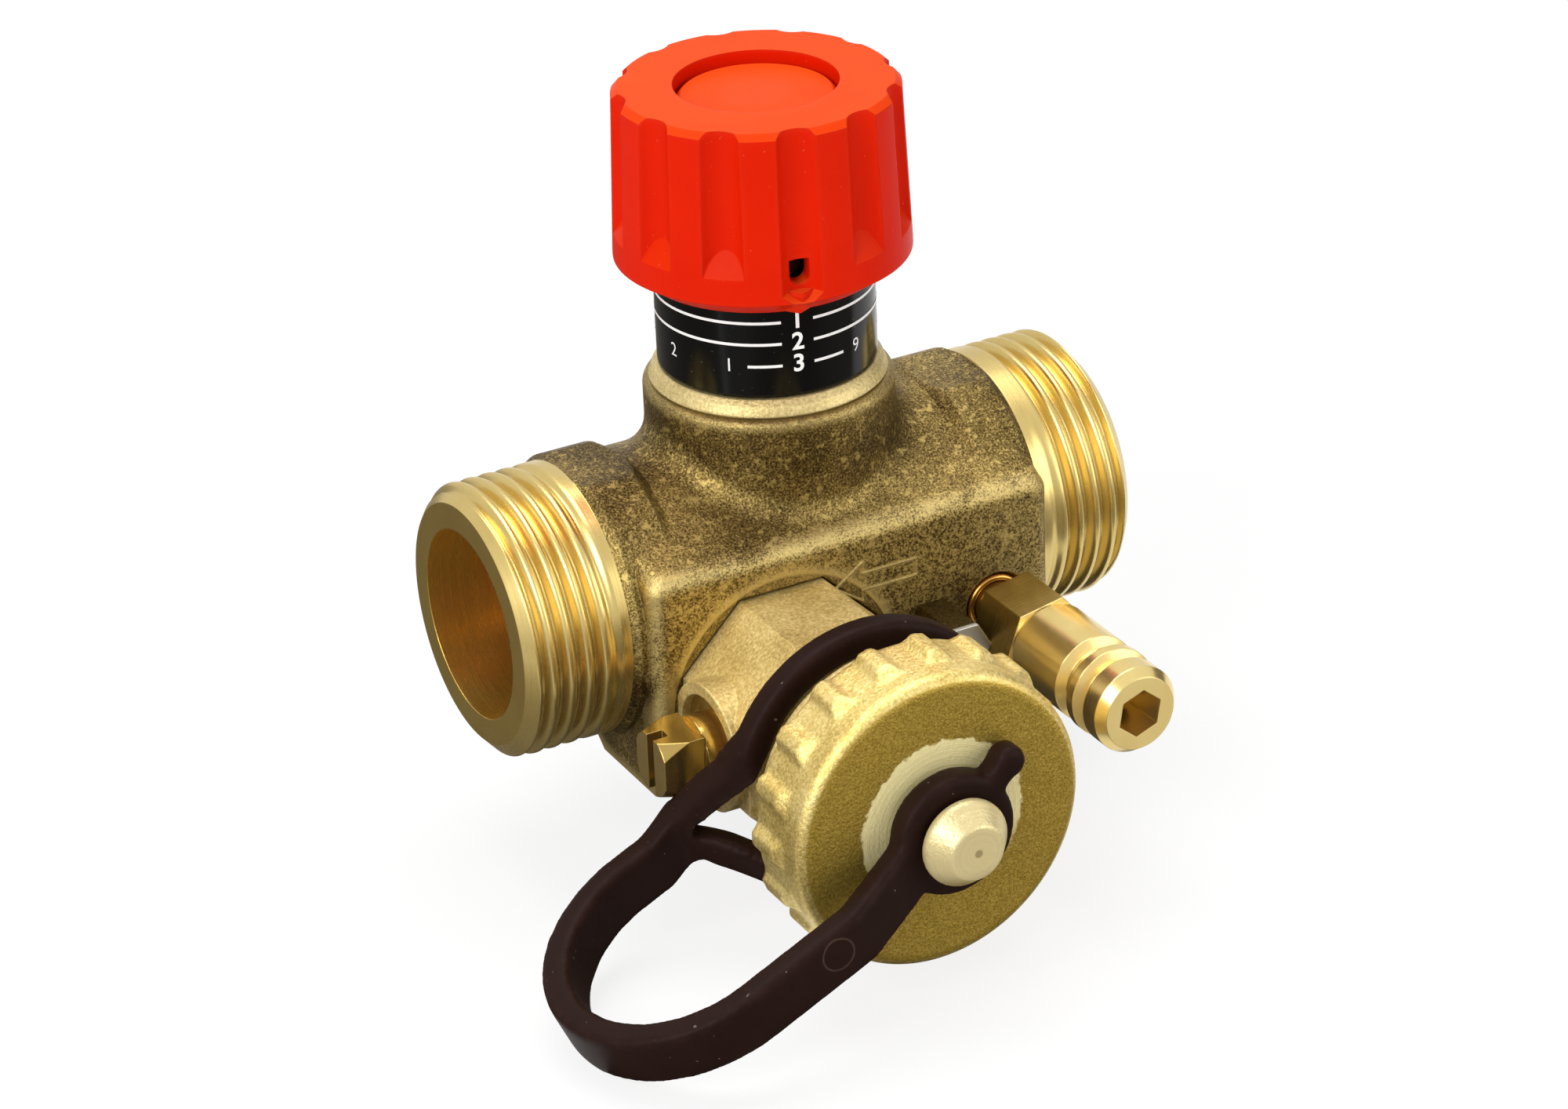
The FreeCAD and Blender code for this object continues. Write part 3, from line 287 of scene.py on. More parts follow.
def turned_brass(name, axis, colour_low, colour_high, rough, lines=5200.0):
    """Bright turned brass with fine tool lines round one axis."""
    g = Graph(name)
    along = {"X": (lines, 40.0, 40.0), "Y": (40.0, lines, 40.0)}[axis]
    streaks = g.noise(1.0, 2.0, 0.6, g.stretched(along))
    clouds = g.noise(210.0, 3.0, 0.55)
    stain = g.between(g.noise(420.0, 4.0, 0.7), 0.60, 0.80)
    colour = g.mix(clouds, colour_low, colour_high)
    colour = g.mix(g.times(stain, 0.30), colour, tuple(c * 0.45 for c in colour_low))
    normal = g.bump(streaks, 0.012 * MM, 0.55, edge=0.16 * MM)
    roughness = g.math("ADD", g.span(streaks, rough - 0.04, rough + 0.09), g.times(stain, 0.12))
    g.surface(Base_Color=colour, Metallic=0.94, Roughness=roughness, Normal=normal, Specular_IOR_Level=0.2)
    return g.material


def nipple_brass():
    """Bright turned nipple whose hexagon keeps the duller skin of the drawn bar."""
    g = Graph("nipple_brass")
    streaks = g.noise(1.0, 2.0, 0.6, g.stretched((40.0, 5200.0, 40.0)))
    skin = g.noise(1600.0, 3.0, 0.65, g.stretched((1.0, 0.25, 1.0)))
    clouds = g.noise(210.0, 3.0, 0.55)
    bright = g.mix(clouds, (0.80, 0.580, 0.190), (0.96, 0.770, 0.340))
    drawn = g.mix(skin, (0.25, 0.165, 0.036), (0.42, 0.290, 0.083))
    on_hexagon = g.inverse(g.between(g.out(), HEXAGON_END, HEXAGON_END + 0.2 * MM))
    colour = g.mix(on_hexagon, bright, drawn)
    normal = g.bump(streaks, 0.012 * MM, 0.55, edge=0.16 * MM)
    roughness = g.math("ADD", g.span(streaks, 0.16, 0.30), g.times(on_hexagon, 0.06))
    # Painted light: faces that look to the front are made less metallic, so that diffuse light makes them
    # lighter.
    faced = g.between(g.times(g.facing()[1], -1.0), 0.5, 0.95)
    g.surface(Base_Color=colour, Metallic=g.span(faced, 0.94, 0.45), Roughness=roughness, Normal=normal)
    g.surface(Specular_IOR_Level=0.2)
    return g.material


def cap_brass():
    """Blasted cap whose face the strap's eye has rubbed bright round the stud."""
    g = blasted_brass("cap_brass", (0.50, 0.350, 0.090), (0.74, 0.560, 0.190), (0.94, 0.780, 0.360),
                      (0.95, 0.80, 0.40))
    base = g.shader.inputs["Base Color"].links[0].from_socket
    rough = g.shader.inputs["Roughness"].links[0].from_socket
    reach = g.radius(DRAIN_AXIS)
    out = g.out()
    ragged = g.math("ADD", reach, g.times(g.math("SUBTRACT", g.noise(900.0, 3.0), 0.5), 1.6 * MM))
    on_face = g.between(out, CAP_FACE - 0.15 * MM, CAP_FACE - 0.05 * MM)
    ring = g.inverse(g.between(ragged, SCUFF_R, SCUFF_R + 0.3 * MM))
    high = g.between(g.apart()[2], DRAIN_AXIS.z - 5.5 * MM, DRAIN_AXIS.z - 1.0 * MM)
    rubbed = g.times(g.times(ring, on_face), high)
    circles = g.add("ShaderNodeCombineXYZ", {0: g.times(reach, 5200.0)}).outputs[0]
    arcs = g.noise(1.0, 3.0, 0.7, circles)
    bright = g.mix(g.between(arcs, 0.35, 0.65), (0.78, 0.650, 0.290), (1.0, 0.890, 0.470))
    stud = g.between(out, CAP_FACE + 0.3 * MM, CAP_FACE + 0.5 * MM)
    bright = g.mix(stud, bright, g.mix(arcs, (0.60, 0.480, 0.225), (0.86, 0.730, 0.390)))
    on_end = g.between(out, STUD_END - 0.1 * MM, STUD_END - 0.05 * MM)
    dot = g.times(on_end, g.inverse(g.between(reach, STUD_DOT_R, STUD_DOT_R + 0.14 * MM)))
    bright = g.mix(g.times(dot, 0.75), bright, (0.30, 0.22, 0.09))
    machined = g.math("MAXIMUM", rubbed, stud)
    face = g.times(on_face, g.inverse(machined))
    grain = g.noise(5200.0, 3.0, 0.7)
    # The front face takes a darker olive colour: partly its own duller tone, partly painted shade from the
    # darker front it faces.
    olive = g.mix(g.between(grain, 0.34, 0.66), (0.39, 0.252, 0.034), (0.70, 0.490, 0.098))
    dull = g.mix(face, base, olive)
    g.surface(Base_Color=g.mix(machined, dull, bright))
    polish = g.math("ADD", g.times(machined, 0.12), g.times(stud, 0.16))
    g.surface(Roughness=g.math("SUBTRACT", rough, polish))
    metal = g.math("ADD", 0.85, g.times(stud, 0.15))
    g.surface(Metallic=g.math("SUBTRACT", metal, g.times(rubbed, 0.62)))
    return g.material


def red_plastic():
    """Satin moulded plastic with a faint skin texture and specks of dust, its top and its edges made paler by
    painted highlights.
    """
    g = Graph("red_plastic")
    clouds = g.noise(140.0, 3.0, 0.5)
    skin = g.noise(5200.0, 2.0, 0.55)
    colour = g.mix(clouds, (0.60, 0.0100, 0.0002), (0.68, 0.0150, 0.0006))
    # Painted highlight: faces that look up are paler.
    upward = g.between(g.facing()[2], 0.35, 0.95)
    colour = g.mix(g.times(upward, g.span(clouds, 0.7, 1.0)), colour, (0.80, 0.074, 0.008))
    dust = g.between(g.noise(2600.0, 1.0, 0.4), 0.76, 0.82)
    colour = g.mix(g.times(dust, 0.25), colour, (0.80, 0.22, 0.14))
    # Painted highlight: edges a lighter orange.
    colour = g.mix(g.times(g.edges(0.6 * MM), 0.16), colour, (0.85, 0.10, 0.04))
    normal = g.bump(skin, 0.018 * MM, 0.5, edge=0.30 * MM)
    g.surface(Base_Color=colour, Roughness=g.span(skin, 0.30, 0.42), Normal=normal)
    g.surface(Specular_IOR_Level=0.035)
    return g.material


def scale_plastic():
    """Glossy black sleeve with light dust."""
    g = Graph("scale_plastic")
    dust = g.between(g.noise(3000.0, 1.0, 0.4), 0.75, 0.82)
    waves = g.noise(120.0, 2.0, 0.5)
    colour = g.mix(g.times(dust, 0.5), (0.0020, 0.0020, 0.0021), (0.10, 0.10, 0.10))
    normal = g.bump(waves, 0.02 * MM, 0.4, edge=0.12 * MM)
    roughness = g.math("ADD", g.span(waves, 0.10, 0.20), g.times(dust, 0.3))
    g.surface(Base_Color=colour, Roughness=roughness, Normal=normal, Specular_IOR_Level=0.22)
    return g.material


def white_print():
    """White ink of the scale, a little uneven."""
    g = Graph("white_print")
    worn = g.noise(2600.0, 3.0, 0.6)
    colour = g.mix(worn, (0.80, 0.80, 0.79), (0.93, 0.93, 0.92))
    g.surface(Base_Color=colour, Roughness=g.span(worn, 0.32, 0.50))
    return g.material


def strap_rubber():
    """Dark brown moulded rubber, dusty, with a faint round mould mark on the front leg."""
    g = Graph("strap_rubber")
    clouds = g.noise(130.0, 4.0, 0.6)
    skin = g.noise(2800.0, 3.0, 0.6)
    colour = g.mix(clouds, (0.0105, 0.0038, 0.0024), (0.0210, 0.0084, 0.0064))
    # Edges lighter brown: partly scuffs, partly a painted sheen.
    scuff_and_sheen = g.times(g.edges(0.9 * MM), g.between(g.noise(520.0, 4.0, 0.7), 0.42, 0.66))
    colour = g.mix(g.times(scuff_and_sheen, 0.70), colour, (0.085, 0.036, 0.028))
    specks = g.between(g.noise(1900.0, 1.0, 0.3), 0.780, 0.82)
    colour = g.mix(g.times(specks, 0.4), colour, (0.30, 0.24, 0.20))
    off_mark = g.math("ABSOLUTE", g.math("SUBTRACT", g.radius(STRAP_MARK), STRAP_MARK_R))
    ring = g.inverse(g.between(off_mark, 0.0, 0.16 * MM))
    front = g.between(g.out(), CAP_FACE + 0.1 * MM, CAP_FACE + 2.1 * MM)
    ring = g.times(ring, front)
    colour = g.mix(g.times(ring, g.span(skin, 0.1, 0.7)), colour, (0.100, 0.062, 0.044))
    height = g.math("ADD", skin, g.times(ring, 0.8))
    normal = g.bump(height, 0.03 * MM, 0.55)
    g.surface(Base_Color=colour, Roughness=g.span(clouds, 0.42, 0.58), Normal=normal)
    g.surface(Specular_IOR_Level=0.07)
    return g.material


def seal_rubber():
    """Black rubber of the seals."""
    g = Graph("seal_rubber")
    skin = g.noise(2400.0, 3.0, 0.6)
    colour = g.mix(skin, (0.012, 0.012, 0.012), (0.030, 0.029, 0.028))
    g.surface(Base_Color=colour, Roughness=g.span(skin, 0.45, 0.65), Normal=g.bump(skin, 0.02 * MM, 0.5))
    return g.material


def plated_steel(name):
    """Bright plated steel with drawn lines."""
    g = Graph(name)
    streaks = g.noise(1.0, 2.0, 0.6, g.stretched((90.0, 3000.0, 90.0)))
    colour = g.mix(streaks, (0.56, 0.56, 0.55), (0.74, 0.74, 0.72))
    normal = g.bump(streaks, 0.01 * MM, 0.5, edge=0.14 * MM)
    g.surface(Base_Color=colour, Metallic=1.0, Roughness=g.span(streaks, 0.16, 0.32), Normal=normal)
    return g


def port_metal():
    """Dull brown plug with a bare silvery end."""
    g = plated_steel("port_metal")
    bare = g.shader.inputs["Base Color"].links[0].from_socket
    grain = g.noise(4200.0, 3.0, 0.7)
    dull = g.mix(g.between(grain, 0.35, 0.65), (0.030, 0.020, 0.007), (0.120, 0.084, 0.028))
    end = g.between(g.out(), PORT_END - 0.3 * MM, PORT_END)
    g.surface(Base_Color=g.mix(end, dull, bare), Roughness=g.span(grain, 0.30, 0.55))
    return g.material


CAST = cast_brass("cast_brass", 1.0)
CAST_MARK = cast_brass("cast_mark", 0.50)
CAST_LIP = cast_brass("cast_lip", 0.12)
END_BRASS = turned_brass("end_brass", "X", (0.64, 0.465, 0.145), (0.80, 0.625, 0.250), 0.25)
FACE_BRASS = turned_brass("face_brass", "X", (0.46, 0.310, 0.055), (0.62, 0.440, 0.105), 0.24)
BORE_BRASS = turned_brass("bore_brass", "X", (0.72, 0.455, 0.080), (0.88, 0.620, 0.160), 0.24, 3600.0)
BONNET_BRASS = blasted_brass("bonnet_brass", (0.46, 0.355, 0.150), (0.68, 0.540, 0.240), (0.88, 0.730, 0.360),
                             (0.92, 0.78, 0.40)).material
DRAIN_BRASS = blasted_brass("drain_brass", (0.44, 0.310, 0.100), (0.70, 0.525, 0.195), (0.92, 0.760, 0.360),
                            (0.95, 0.80, 0.40)).material
CAP_BRASS = cap_brass()
NIPPLE_BRASS = nipple_brass()
KEY_BRASS = turned_brass("key_brass", "X", (0.46, 0.310, 0.080), (0.68, 0.490, 0.165), 0.15, 2600.0)
RED = red_plastic()
BLACK = scale_plastic()
PRINT = white_print()
STRAP = strap_rubber()
SEAL = seal_rubber()
SEAL_COPPER = turned_brass("seal_copper", "Y", (0.56, 0.270, 0.050), (0.80, 0.450, 0.110), 0.22)
STEEL = plated_steel("plated_steel").material
PORT_METAL = port_metal()

CAD_MATERIALS = {
    "bonnet": BONNET_BRASS, "scale_sleeve": BLACK, "spindle": KEY_BRASS, "valve_cone": KEY_BRASS,
    "handle": RED, "handle_cover": RED, "handle_screw": STEEL, "drain_body": DRAIN_BRASS,
    "drain_spindle": KEY_BRASS, "drain_cap": CAP_BRASS, "test_nipple": NIPPLE_BRASS, "port_plug": PORT_METAL,
    "bonnet_seal": SEAL, "stem_seal_low": SEAL, "stem_seal_high": SEAL, "cone_seal": SEAL,
    "drain_seal": SEAL, "drain_spindle_seal": SEAL, "cap_gasket": SEAL, "nipple_seal": SEAL_COPPER,
}
for name, material in CAD_MATERIALS.items():
    nodes[name].data.materials.clear()
    nodes[name].data.materials.append(material)


# Pieces


def new_object(name, mesh, materials):
    """A scene object with its materials."""
    piece = bpy.data.objects.new(name, mesh)
    bpy.context.scene.collection.objects.link(piece)
    for material in materials:
        mesh.materials.append(material)
    return piece


def finished(name, mesh, materials):
    """A scene object from mesh code."""
    data = bpy.data.meshes.new(name)
    mesh.to_mesh(data)
    mesh.free()
    return new_object(name, data, materials)


def smooth(mesh, degrees):
    """Smooth shading that breaks at edges sharper than the angle."""
    limit = math.radians(degrees)
    for face in mesh.faces:
        face.smooth = True
    for edge in mesh.edges:
        edge.smooth = edge.calc_face_angle(0.0) < limit


def thread_radius(along, turn):
    """Radius of the threaded end at a distance from its face and a turn about the axis.
    The groove winds right-handed and its last turn runs out to nothing before the neck."""
    depth, start, stop, run_out = 1.02 * MM, 0.35, 9.1 * MM, 1.6 * MM
    phase = along / PITCH - turn / (2 * math.pi) - start
    nearest = round(phase)
    groove_at = (nearest + turn / (2 * math.pi) + start) * PITCH
    share = min(1.0, max(0.0, (stop - groove_at) / run_out))
    swing = 0.5 + 0.5 * math.cos(2 * math.pi * (phase - nearest))
    groove = THREAD_R - depth * share * swing ** 1.5
    chamfer = FACE_R + (THREAD_R - FACE_R) * along / CHAMFER_LENGTH
    return min(groove, chamfer)


def turn_of(vert):
    """A point's turn about the flow axis."""
    return math.atan2(vert.co.z, vert.co.y)


def zip_rims(mesh, first, second):
    """Triangles between two closed rims round the X axis, each with vertices of its own."""
    first, second = sorted(first, key=turn_of), sorted(second, key=turn_of)
    faces = []
    i = j = 0
    while i < len(first) or j < len(second):
        here, there = first[i % len(first)], second[j % len(second)]
        next_here, next_there = first[(i + 1) % len(first)], second[(j + 1) % len(second)]
        turn_here = turn_of(next_here) + (2 * math.pi if i + 1 >= len(first) else 0.0)
        turn_there = turn_of(next_there) + (2 * math.pi if j + 1 >= len(second) else 0.0)
        if j >= len(second) or (i < len(first) and turn_here <= turn_there):
            faces.append(mesh.faces.new((here, next_here, there)))
            i += 1
        else:
            faces.append(mesh.faces.new((here, next_there, there)))
            j += 1
    return faces


def add_thread(mesh, at_inlet):
    """Adds one threaded end as a grid, and joins its two rims to the open rims of the casting."""
    around, steps, margin, slack = 160, 104, 0.2 * MM, 0.01 * MM
    rows = []
    for step in range(steps + 1):
        along = margin + (THREAD_END - 2 * margin) * step / steps
        row = []
        for k in range(around):
            turn = 2 * math.pi * k / around
            r = thread_radius(along, -turn if at_inlet else turn)
            x = BODY_LENGTH - along if at_inlet else along
            row.append(mesh.verts.new((x, r * math.cos(turn), r * math.sin(turn))))
        rows.append(row)
    faces = []
    for low, high in zip(rows, rows[1:]):
        for k in range(around):
            after = (k + 1) % around
            corners = [low[k], low[after], high[after], high[k]]
            faces.append(mesh.faces.new(corners if at_inlet else corners[::-1]))
    for row, along in ((rows[0], 0.0), (rows[-1], THREAD_END)):
        x = BODY_LENGTH - along if at_inlet else along
        own = set(row)
        rim = set()
        for edge in mesh.edges:
            if edge.is_boundary and not own.intersection(edge.verts):
                if all(abs(v.co.x - x) < slack for v in edge.verts):
                    rim.update(edge.verts)
        faces.extend(zip_rims(mesh, row, rim))
    return faces


CAST_SLOT, END_SLOT, BORE_SLOT, FACE_SLOT = range(4)


def threaded_body():
    """The casting with true threads on both ends and machined faces told apart by their place."""
    mesh = bmesh.new()
    mesh.from_mesh(nodes["valve_body"].data)
    weld, slack, flat_end = 0.0005 * MM, 0.02 * MM, 0.9
    bmesh.ops.remove_doubles(mesh, verts=mesh.verts, dist=weld)
    plain = []
    for face in mesh.faces:
        reach = [math.hypot(v.co.y, v.co.z) for v in face.verts]
        near = [min(v.co.x, BODY_LENGTH - v.co.x) for v in face.verts]
        on_thread = max(near) < THREAD_END + slack and FACE_R - slack < min(reach)
        if on_thread and max(reach) < THREAD_R + slack and abs(face.normal.x) < flat_end:
            plain.append(face)
    bmesh.ops.delete(mesh, geom=plain, context="FACES")
    threads = add_thread(mesh, False) + add_thread(mesh, True)
    bmesh.ops.recalc_face_normals(mesh, faces=mesh.faces)
    for face in mesh.faces:
        centre = face.calc_center_median()
        reach = math.hypot(centre.y, centre.z)
        ends = min(centre.x, BODY_LENGTH - centre.x)
        by_nipple = math.hypot(centre.x - NIPPLE_AXIS.x, centre.z - NIPPLE_AXIS.z)
        if reach < BORE_R + 0.1 * MM and ends > slack:
            face.material_index = BORE_SLOT
        elif by_nipple < NIPPLE_HOLE_R and BLOCK_FRONT_Y + slack < centre.y < 0:
            face.material_index = BORE_SLOT
        elif ends < slack:
            face.material_index = FACE_SLOT
        else:
            face.material_index = CAST_SLOT
    smooth(mesh, 32.0)
    for face in threads:
        face.material_index = END_SLOT
    winding = set(threads)
    for edge in mesh.edges:
        if winding.issuperset(edge.link_faces):
            edge.smooth = True
    piece = finished("valve_body_threaded", mesh, [CAST, END_BRASS, BORE_BRASS, FACE_BRASS])
    weigh = piece.modifiers.new("even_normals", "WEIGHTED_NORMAL")
    weigh.keep_sharp = True
    return piece


body = threaded_body()
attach(body, "valve")
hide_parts("valve_body")


def on_scale(u, z):
    """Point just off the scale sleeve, u metres round from the number column, z up."""
    lift = 0.03 * MM
    angle = POINTER_ANGLE + u / SCALE_R
    r = SCALE_R + lift
    return Vector((SPINDLE_X + r * math.sin(angle), -r * math.cos(angle), z))


def scale_line(mesh, start, end, z):
    """A printed line round part of the sleeve, between two angles from the number column."""
    thick, step = 0.28 * MM, math.radians(3)
    steps = max(2, int(abs(end - start) / step))
    pairs = []
    for k in range(steps + 1):
        u = (start + (end - start) * k / steps) * SCALE_R
        pairs.append([mesh.verts.new(on_scale(u, z + side * thick / 2)) for side in (-1, 1)])
    for (a, b), (d, c) in zip(pairs, pairs[1:]):
        mesh.faces.new((a, d, c, b))


def scale_digit(mesh, text, angle, z, height, bold):
    """A printed digit, wrapped round the sleeve and centred on an angle and a height."""
    size_per_height = 1.37
    curve = bpy.data.curves.new("digit", "FONT")
    curve.body = text
    curve.size = height * size_per_height
    curve.align_x = "CENTER"
    curve.offset = bold * height
    curve.resolution_u = 6
    holder = bpy.data.objects.new("digit", curve)
    bpy.context.scene.collection.objects.link(holder)
    flat = bpy.data.meshes.new_from_object(holder.evaluated_get(bpy.context.evaluated_depsgraph_get()))
    xs, ys = [v.co.x for v in flat.vertices], [v.co.y for v in flat.vertices]
    centre, middle = (min(xs) + max(xs)) / 2, (min(ys) + max(ys)) / 2
    made = [mesh.verts.new(on_scale(angle * SCALE_R + x - centre, z + y - middle)) for x, y in zip(xs, ys)]
    for polygon in flat.polygons:
        mesh.faces.new([made[i] for i in polygon.vertices])
    bpy.data.objects.remove(holder)
    bpy.data.curves.remove(curve)
    bpy.data.meshes.remove(flat)


def scale_print():
    """Rings for whole turns with their numbers, and tenths of a turn in the lowest row."""
    mesh = bmesh.new()
    gap, dash_end = math.radians(8.5), math.radians(26.3)
    rows = {"0": 29.5 * MM, "1": 27.3 * MM, "2": 25.15 * MM, "3": 22.95 * MM}
    for text, z in rows.items():
        scale_digit(mesh, text, 0.0, z + 0.15 * MM, 1.75 * MM, 0.03)
    for text in "012":
        scale_line(mesh, gap, 2 * math.pi - gap, rows[text])
    for tenth in range(1, 10):
        angle = -tenth * 2 * math.pi / 10
        scale_digit(mesh, str(tenth), angle, rows["3"] + 0.1 * MM, 1.4 * MM, -0.004)
    for side in (-1, 1):
        scale_line(mesh, *sorted((side * gap, side * dash_end)), rows["3"])
    return finished("scale_print", mesh, [PRINT])


digits = scale_print()
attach(digits, "valve")


def ridge(mesh, start, end):
    """A low rounded ridge on the front face between two (x, z) points."""
    half, tall = 0.17 * MM, 0.12 * MM
    a, b = Vector((start[0], 0, start[1])), Vector((end[0], 0, end[1]))
    along = (b - a).normalized()
    side = Vector((0, 1, 0)).cross(along)
    foot, shoulder = -0.1 * MM, tall * 0.75
    profile = [(-half, foot), (-half * 0.7, shoulder), (0, tall), (half * 0.7, shoulder), (half, foot)]
    rows = []
    for spot in (a - along * half, b + along * half):
        rows.append([mesh.verts.new(spot + side * u + Vector((0, BLOCK_FRONT_Y - h, 0))) for u, h in profile])
    for k in range(len(profile) - 1):
        mesh.faces.new((rows[0][k], rows[1][k], rows[1][k + 1], rows[0][k + 1]))
    for row in rows:
        mesh.faces.new(row)


def flow_arrow():
    """Cast outline of an arrow that points to the outlet."""
    tip, neck, tail = 30.7 * MM, 33.6 * MM, 39.3 * MM
    middle, spread, thick = 1.6 * MM, 4.0 * MM, 1.75 * MM
    corners = [
        (tip, middle), (neck, middle + spread / 2), (neck, middle + thick / 2), (tail, middle + thick / 2),
        (tail, middle - thick / 2), (neck, middle - thick / 2), (neck, middle - spread / 2),
    ]
    mesh = bmesh.new()
    for start, end in zip(corners, corners[1:] + corners[:1]):
        ridge(mesh, start, end)
    bmesh.ops.recalc_face_normals(mesh, faces=mesh.faces)
    smooth(mesh, 50.0)
    return finished("flow_arrow", mesh, [CAST_MARK])


arrow = flow_arrow()
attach(arrow, "valve")


def pocket_lip():
    """The casting's lip that closes in on the eight sides of the drain cock."""
    clear, around = 0.12 * MM, 96
    apothem = OCTAGON_R * math.cos(math.pi / 8) + clear
    face, deep, edge = BLOCK_FRONT_Y + 0.06 * MM, BLOCK_FRONT_Y + 1.5 * MM, 0.15 * MM
    mesh = bmesh.new()
    rings = []
    for k in range(around):
        angle = 2 * math.pi * k / around
        off = math.remainder(angle, math.pi / 4)
        inner = apothem / math.cos(off)
        profile = [(POCKET_R, deep), (POCKET_R, face)]
        profile += [(inner + edge, face), (inner, face + edge), (inner, deep)]
        x, z = math.cos(angle), math.sin(angle)
        rings.append([mesh.verts.new((DRAIN_AXIS.x + r * x, y, DRAIN_AXIS.z + r * z)) for r, y in profile])
    for here, there in zip(rings, rings[1:] + rings[:1]):
        for k in range(len(here)):
            after = (k + 1) % len(here)
            mesh.faces.new((here[k], here[after], there[after], there[k]))
    bmesh.ops.recalc_face_normals(mesh, faces=mesh.faces)
    smooth(mesh, 35.0)
    return finished("pocket_lip", mesh, [CAST_LIP])


lip = pocket_lip()
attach(lip, "valve")


def pointer_nib():
    """Ridge below the handle's window that points at the scale."""
    turn, half_ridge = math.radians(-13.0), 0.12
    # Each section, in mm: height, radius of the ridge, half width, radius of the roots.
    sections = [
        (28.95, 12.45, 1.55, 11.2),
        (29.15, 12.75, 1.75, 11.4),
        (31.1, 13.85, 2.2, 12.2),
        (31.5, 13.75, 2.2, 12.2),
    ]
    mesh = bmesh.new()
    rows = []
    for z, ridge_r, half, root_r in sections:
        row = []
        for side, r in ((-half, root_r), (-half_ridge, ridge_r), (half_ridge, ridge_r), (half, root_r)):
            x = side * math.cos(turn) + r * math.sin(turn)
            y = side * math.sin(turn) - r * math.cos(turn)
            row.append(mesh.verts.new((SPINDLE_X + x * MM, y * MM, z * MM)))
        rows.append(row)
    for low, high in zip(rows, rows[1:]):
        for k in range(4):
            after = (k + 1) % 4
            mesh.faces.new((low[k], low[after], high[after], high[k]))
    mesh.faces.new(rows[0])
    mesh.faces.new(rows[-1])
    bmesh.ops.recalc_face_normals(mesh, faces=mesh.faces)
    smooth(mesh, 20.0)
    return finished("pointer_nib", mesh, [RED])


nib = pointer_nib()
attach(nib, "handle")


def even_copy(node, voxel):
    """A solid's mesh rebuilt with even cells, ready to be eased."""
    holder = bpy.data.objects.new("even", nodes[node].data.copy())
    bpy.context.scene.collection.objects.link(holder)
    remesh = holder.modifiers.new("even_mesh", "REMESH")
    remesh.mode = "VOXEL"
    remesh.voxel_size = voxel
    bpy.context.view_layer.update()
    mesh = bpy.data.meshes.new_from_object(holder.evaluated_get(bpy.context.evaluated_depsgraph_get()))
    bpy.data.objects.remove(holder)
    mesh.materials.clear()
    return mesh


def points_of(mesh):
    """The points of a mesh, a row for each."""
    flat = np.empty(len(mesh.vertices) * 3)
    mesh.vertices.foreach_get("co", flat)
    return flat.reshape(-1, 3)


def put_points(mesh, points):
    """Moves the points of a mesh to new places."""
    mesh.vertices.foreach_set("co", points.ravel())
    mesh.update()


def ease(mesh, steps, share=1.0):
    """Moves each point towards the mean of its neighbours, once for each step's strength.
    A step back after each step, a little stronger, keeps the shape from shrinking."""
    points = points_of(mesh)
    pairs = np.empty(len(mesh.edges) * 2, dtype=np.int64)
    mesh.edges.foreach_get("vertices", pairs)
    first, second = pairs[0::2], pairs[1::2]
    count = len(points)
    degree = np.bincount(pairs, minlength=count)
    for strength in steps:
        total = np.stack([
            np.bincount(first, points[second, k], count) + np.bincount(second, points[first, k], count)
            for k in range(3)
        ], axis=1)
        points += np.reshape(strength * share, (-1, 1)) * (total / degree[:, None] - points)
    put_points(mesh, points)


def swell(mesh, by):
    """Moves each point out along its normal, by one distance or each by its own."""
    normals = np.empty(len(mesh.vertices) * 3)
    mesh.vertices.foreach_get("normal", normals)
    put_points(mesh, points_of(mesh) + np.reshape(by, (-1, 1)) * normals.reshape(-1, 3))


def rise(value, low, high):
    """0 below low, 1 above high, smooth in between."""
    t = np.clip((value - low) / (high - low), 0.0, 1.0)
    return t * t * (3 - 2 * t)


def rise_and_fall(value, low, full, last, high):
    """1 from full to last, 0 below low and above high, smooth in between."""
    return rise(value, low, full) * (1.0 - rise(value, last, high))


def from_drain_axis(points):
    """How far points lie from the drain's axis along x and along z."""
    return points[:, 0] - DRAIN_AXIS.x, points[:, 2] - DRAIN_AXIS.z


def soft_strap():
    """The strap with rope-round edges, a stouter lower arm, and its fork higher than in the solid.
    The arm is found by its angle and its distance from the drain's axis, behind the cap."""
    rounding_mm, arm_rounding_mm, fork_turn = 0.17, 0.42, math.radians(-8.0)
    mesh = even_copy("cap_strap", 0.22 * MM)
    ease(mesh, [0.5] * 22)
    points = points_of(mesh)
    x, z = from_drain_axis(points)
    reach, angle = np.hypot(x, z), np.degrees(np.arctan2(z, x)) % 360.0
    behind = 1.0 - rise(-points[:, 1], 34.0 * MM, 38.0 * MM)
    low_arm = rise_and_fall(angle, 208.0, 218.0, 238.0, 254.0) * behind
    low_arm *= rise_and_fall(reach, 11.6 * MM, 13.0 * MM, 17.0 * MM, 20.0 * MM)
    swell(mesh, (rounding_mm + arm_rounding_mm * low_arm) * MM)
    points = points_of(mesh)
    x, z = from_drain_axis(points)
    near = 1.0 - rise(np.hypot(x, z), 14.0 * MM, 21.0 * MM)
    turn = fork_turn * near * behind
    points[:, 0] = DRAIN_AXIS.x + x * np.cos(turn) - z * np.sin(turn)
    points[:, 2] = DRAIN_AXIS.z + x * np.sin(turn) + z * np.cos(turn)
    put_points(mesh, points)
    ease(mesh, [0.5, -0.53] * 8)
    mesh.shade_smooth()
    return new_object("cap_strap_soft", mesh, [STRAP])


strap = soft_strap()
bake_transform(strap)
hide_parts("cap_strap")


